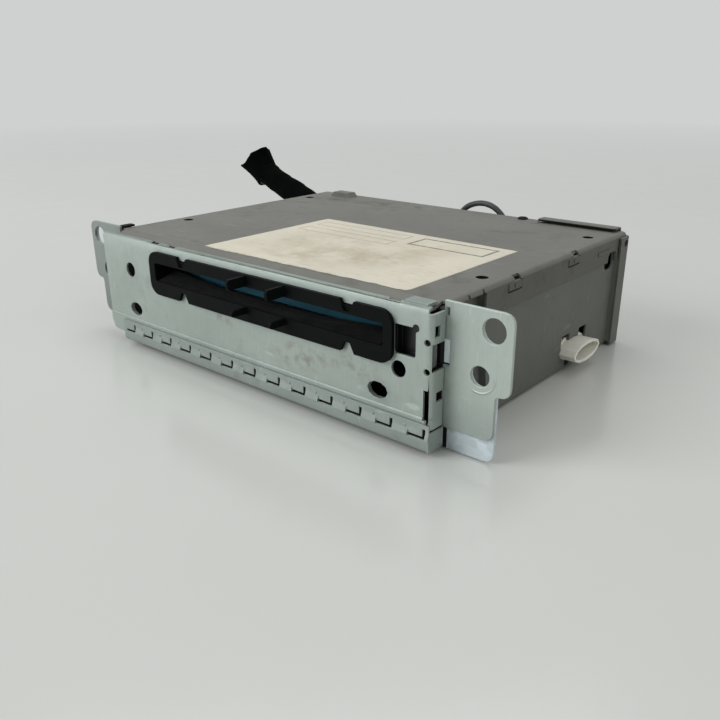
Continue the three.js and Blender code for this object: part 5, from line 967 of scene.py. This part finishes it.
# filler strips in the wall's finish that cover the shaded gap between the wall and the rear plate's side
# flanges, hiding that shade
gap_filler_outline = [(87.5, 63.2), (89.7, 63.6), (89.7, 64.6), (87.5, 64.6)]
fitted(slab("rear_gap_filler_1", gap_filler_outline, 2.0, 40.0, wall))
fitted(slab("rear_gap_filler_2", [(-x, y) for x, y in reversed(gap_filler_outline)], 2.0, 40.0, wall))
fitted(turned("cover_dimple", (48.6, 64.6, TOP - 0.1), (0, 0, 1),
              [(2.2, 0.05), (1.8, 0.35), (1.2, 0.62), (0.5, 0.74), (0.05, 0.76)], cover))


# ---------------------------------------------------------------- stage and light
BACKGROUND = (207, 209, 209)
FLOOR_HALF = 3.0
FLOOR_LEVEL = -0.0002
FADE_FROM, FADE_TO = 0.5, 1.5    # metres from the middle


def ray_kind(tree, *kinds):
    """1 for rays of the given kinds."""
    path = tree.nodes.new("ShaderNodeLightPath")
    total = path.outputs[kinds[0]]
    for kind in kinds[1:]:
        node = tree.nodes.new("ShaderNodeMath")
        node.operation = "MAXIMUM"
        tree.links.new(total, node.inputs[0])
        tree.links.new(path.outputs[kind], node.inputs[1])
        total = node.outputs[0]
    return total


def stage():
    """A pale, polished floor that turns into the background far away."""
    f = Finish("floor", (206, 207, 202), 0.14)
    f.shade(f.band(f.noise(5, 4), 0.3, 0.7, 0.985, 1.015))
    f.rough(f.noise(30, 4), 0.1)
    far = f.tree.nodes.new("ShaderNodeVectorMath")
    far.operation = "LENGTH"
    f.feed(far.inputs[0], f.place)
    faded = f.band(far.outputs["Value"], FADE_FROM, FADE_TO)
    glow = f.tree.nodes.new("ShaderNodeEmission")
    glow.inputs[0].default_value = (*linear(BACKGROUND), 1)
    mix = f.tree.nodes.new("ShaderNodeMixShader")
    f.feed(mix.inputs[0], f.maths("MULTIPLY", faded, ray_kind(f.tree, "Is Camera Ray", "Is Glossy Ray")))
    floor_material = f.done(Specular_IOR_Level=0.5)
    output = next(node for node in f.tree.nodes if node.bl_idname == "ShaderNodeOutputMaterial")
    f.tree.links.new(f.shader.outputs[0], mix.inputs[1])
    f.tree.links.new(glow.outputs[0], mix.inputs[2])
    f.tree.links.new(mix.outputs[0], output.inputs[0])
    corners = [Vector((x * FLOOR_HALF, y * FLOOR_HALF, FLOOR_LEVEL))
               for x, y in ((-1, -1), (1, -1), (1, 1), (-1, 1))]
    new_mesh("floor", corners, [(0, 1, 2, 3)], floor_material)


def world():
    """Even sky light; the camera and mirror rays see the plain background instead."""
    scene_world = bpy.data.worlds.new("world")
    bpy.context.scene.world = scene_world
    scene_world.use_nodes = True
    tree = scene_world.node_tree
    tree.nodes.clear()
    output = tree.nodes.new("ShaderNodeOutputWorld")
    seen, lit = tree.nodes.new("ShaderNodeBackground"), tree.nodes.new("ShaderNodeBackground")
    seen.inputs[0].default_value = (*linear(BACKGROUND), 1)
    seen.inputs[1].default_value = 1.0
    lit.inputs[0].default_value = (*linear((228, 230, 231)), 1)
    lit.inputs[1].default_value = 0.36
    mix = tree.nodes.new("ShaderNodeMixShader")
    tree.links.new(ray_kind(tree, "Is Camera Ray", "Is Glossy Ray", "Is Transmission Ray"), mix.inputs[0])
    tree.links.new(lit.outputs[0], mix.inputs[1])
    tree.links.new(seen.outputs[0], mix.inputs[2])
    tree.links.new(mix.outputs[0], output.inputs[0])


def lamp(name, place, size, power, colour=(255, 255, 255)):
    """A square area lamp, in metres and watts, that is aimed at the case."""
    data = bpy.data.lights.new(name, "AREA")
    data.size = size
    data.energy = power
    data.color = linear(colour)
    light = bpy.data.objects.new(name, data)
    bpy.context.scene.collection.objects.link(light)
    light.location = place
    light.visible_camera = False
    light.rotation_euler = (Vector((0, 0, 0.03)) - Vector(place)).to_track_quat("-Z", "Y").to_euler()


stage()
world()
lamp("window", (-0.8, -1.3, 0.8), 1.1, 19.5, (250, 252, 255))
lamp("fill", (-0.3, 0.3, 1.6), 1.4, 11)
lamp("side", (1.2, -0.1, 0.8), 1.0, 4)
bpy.context.scene.view_settings.view_transform = "Standard"

bpy.context.view_layer.update()
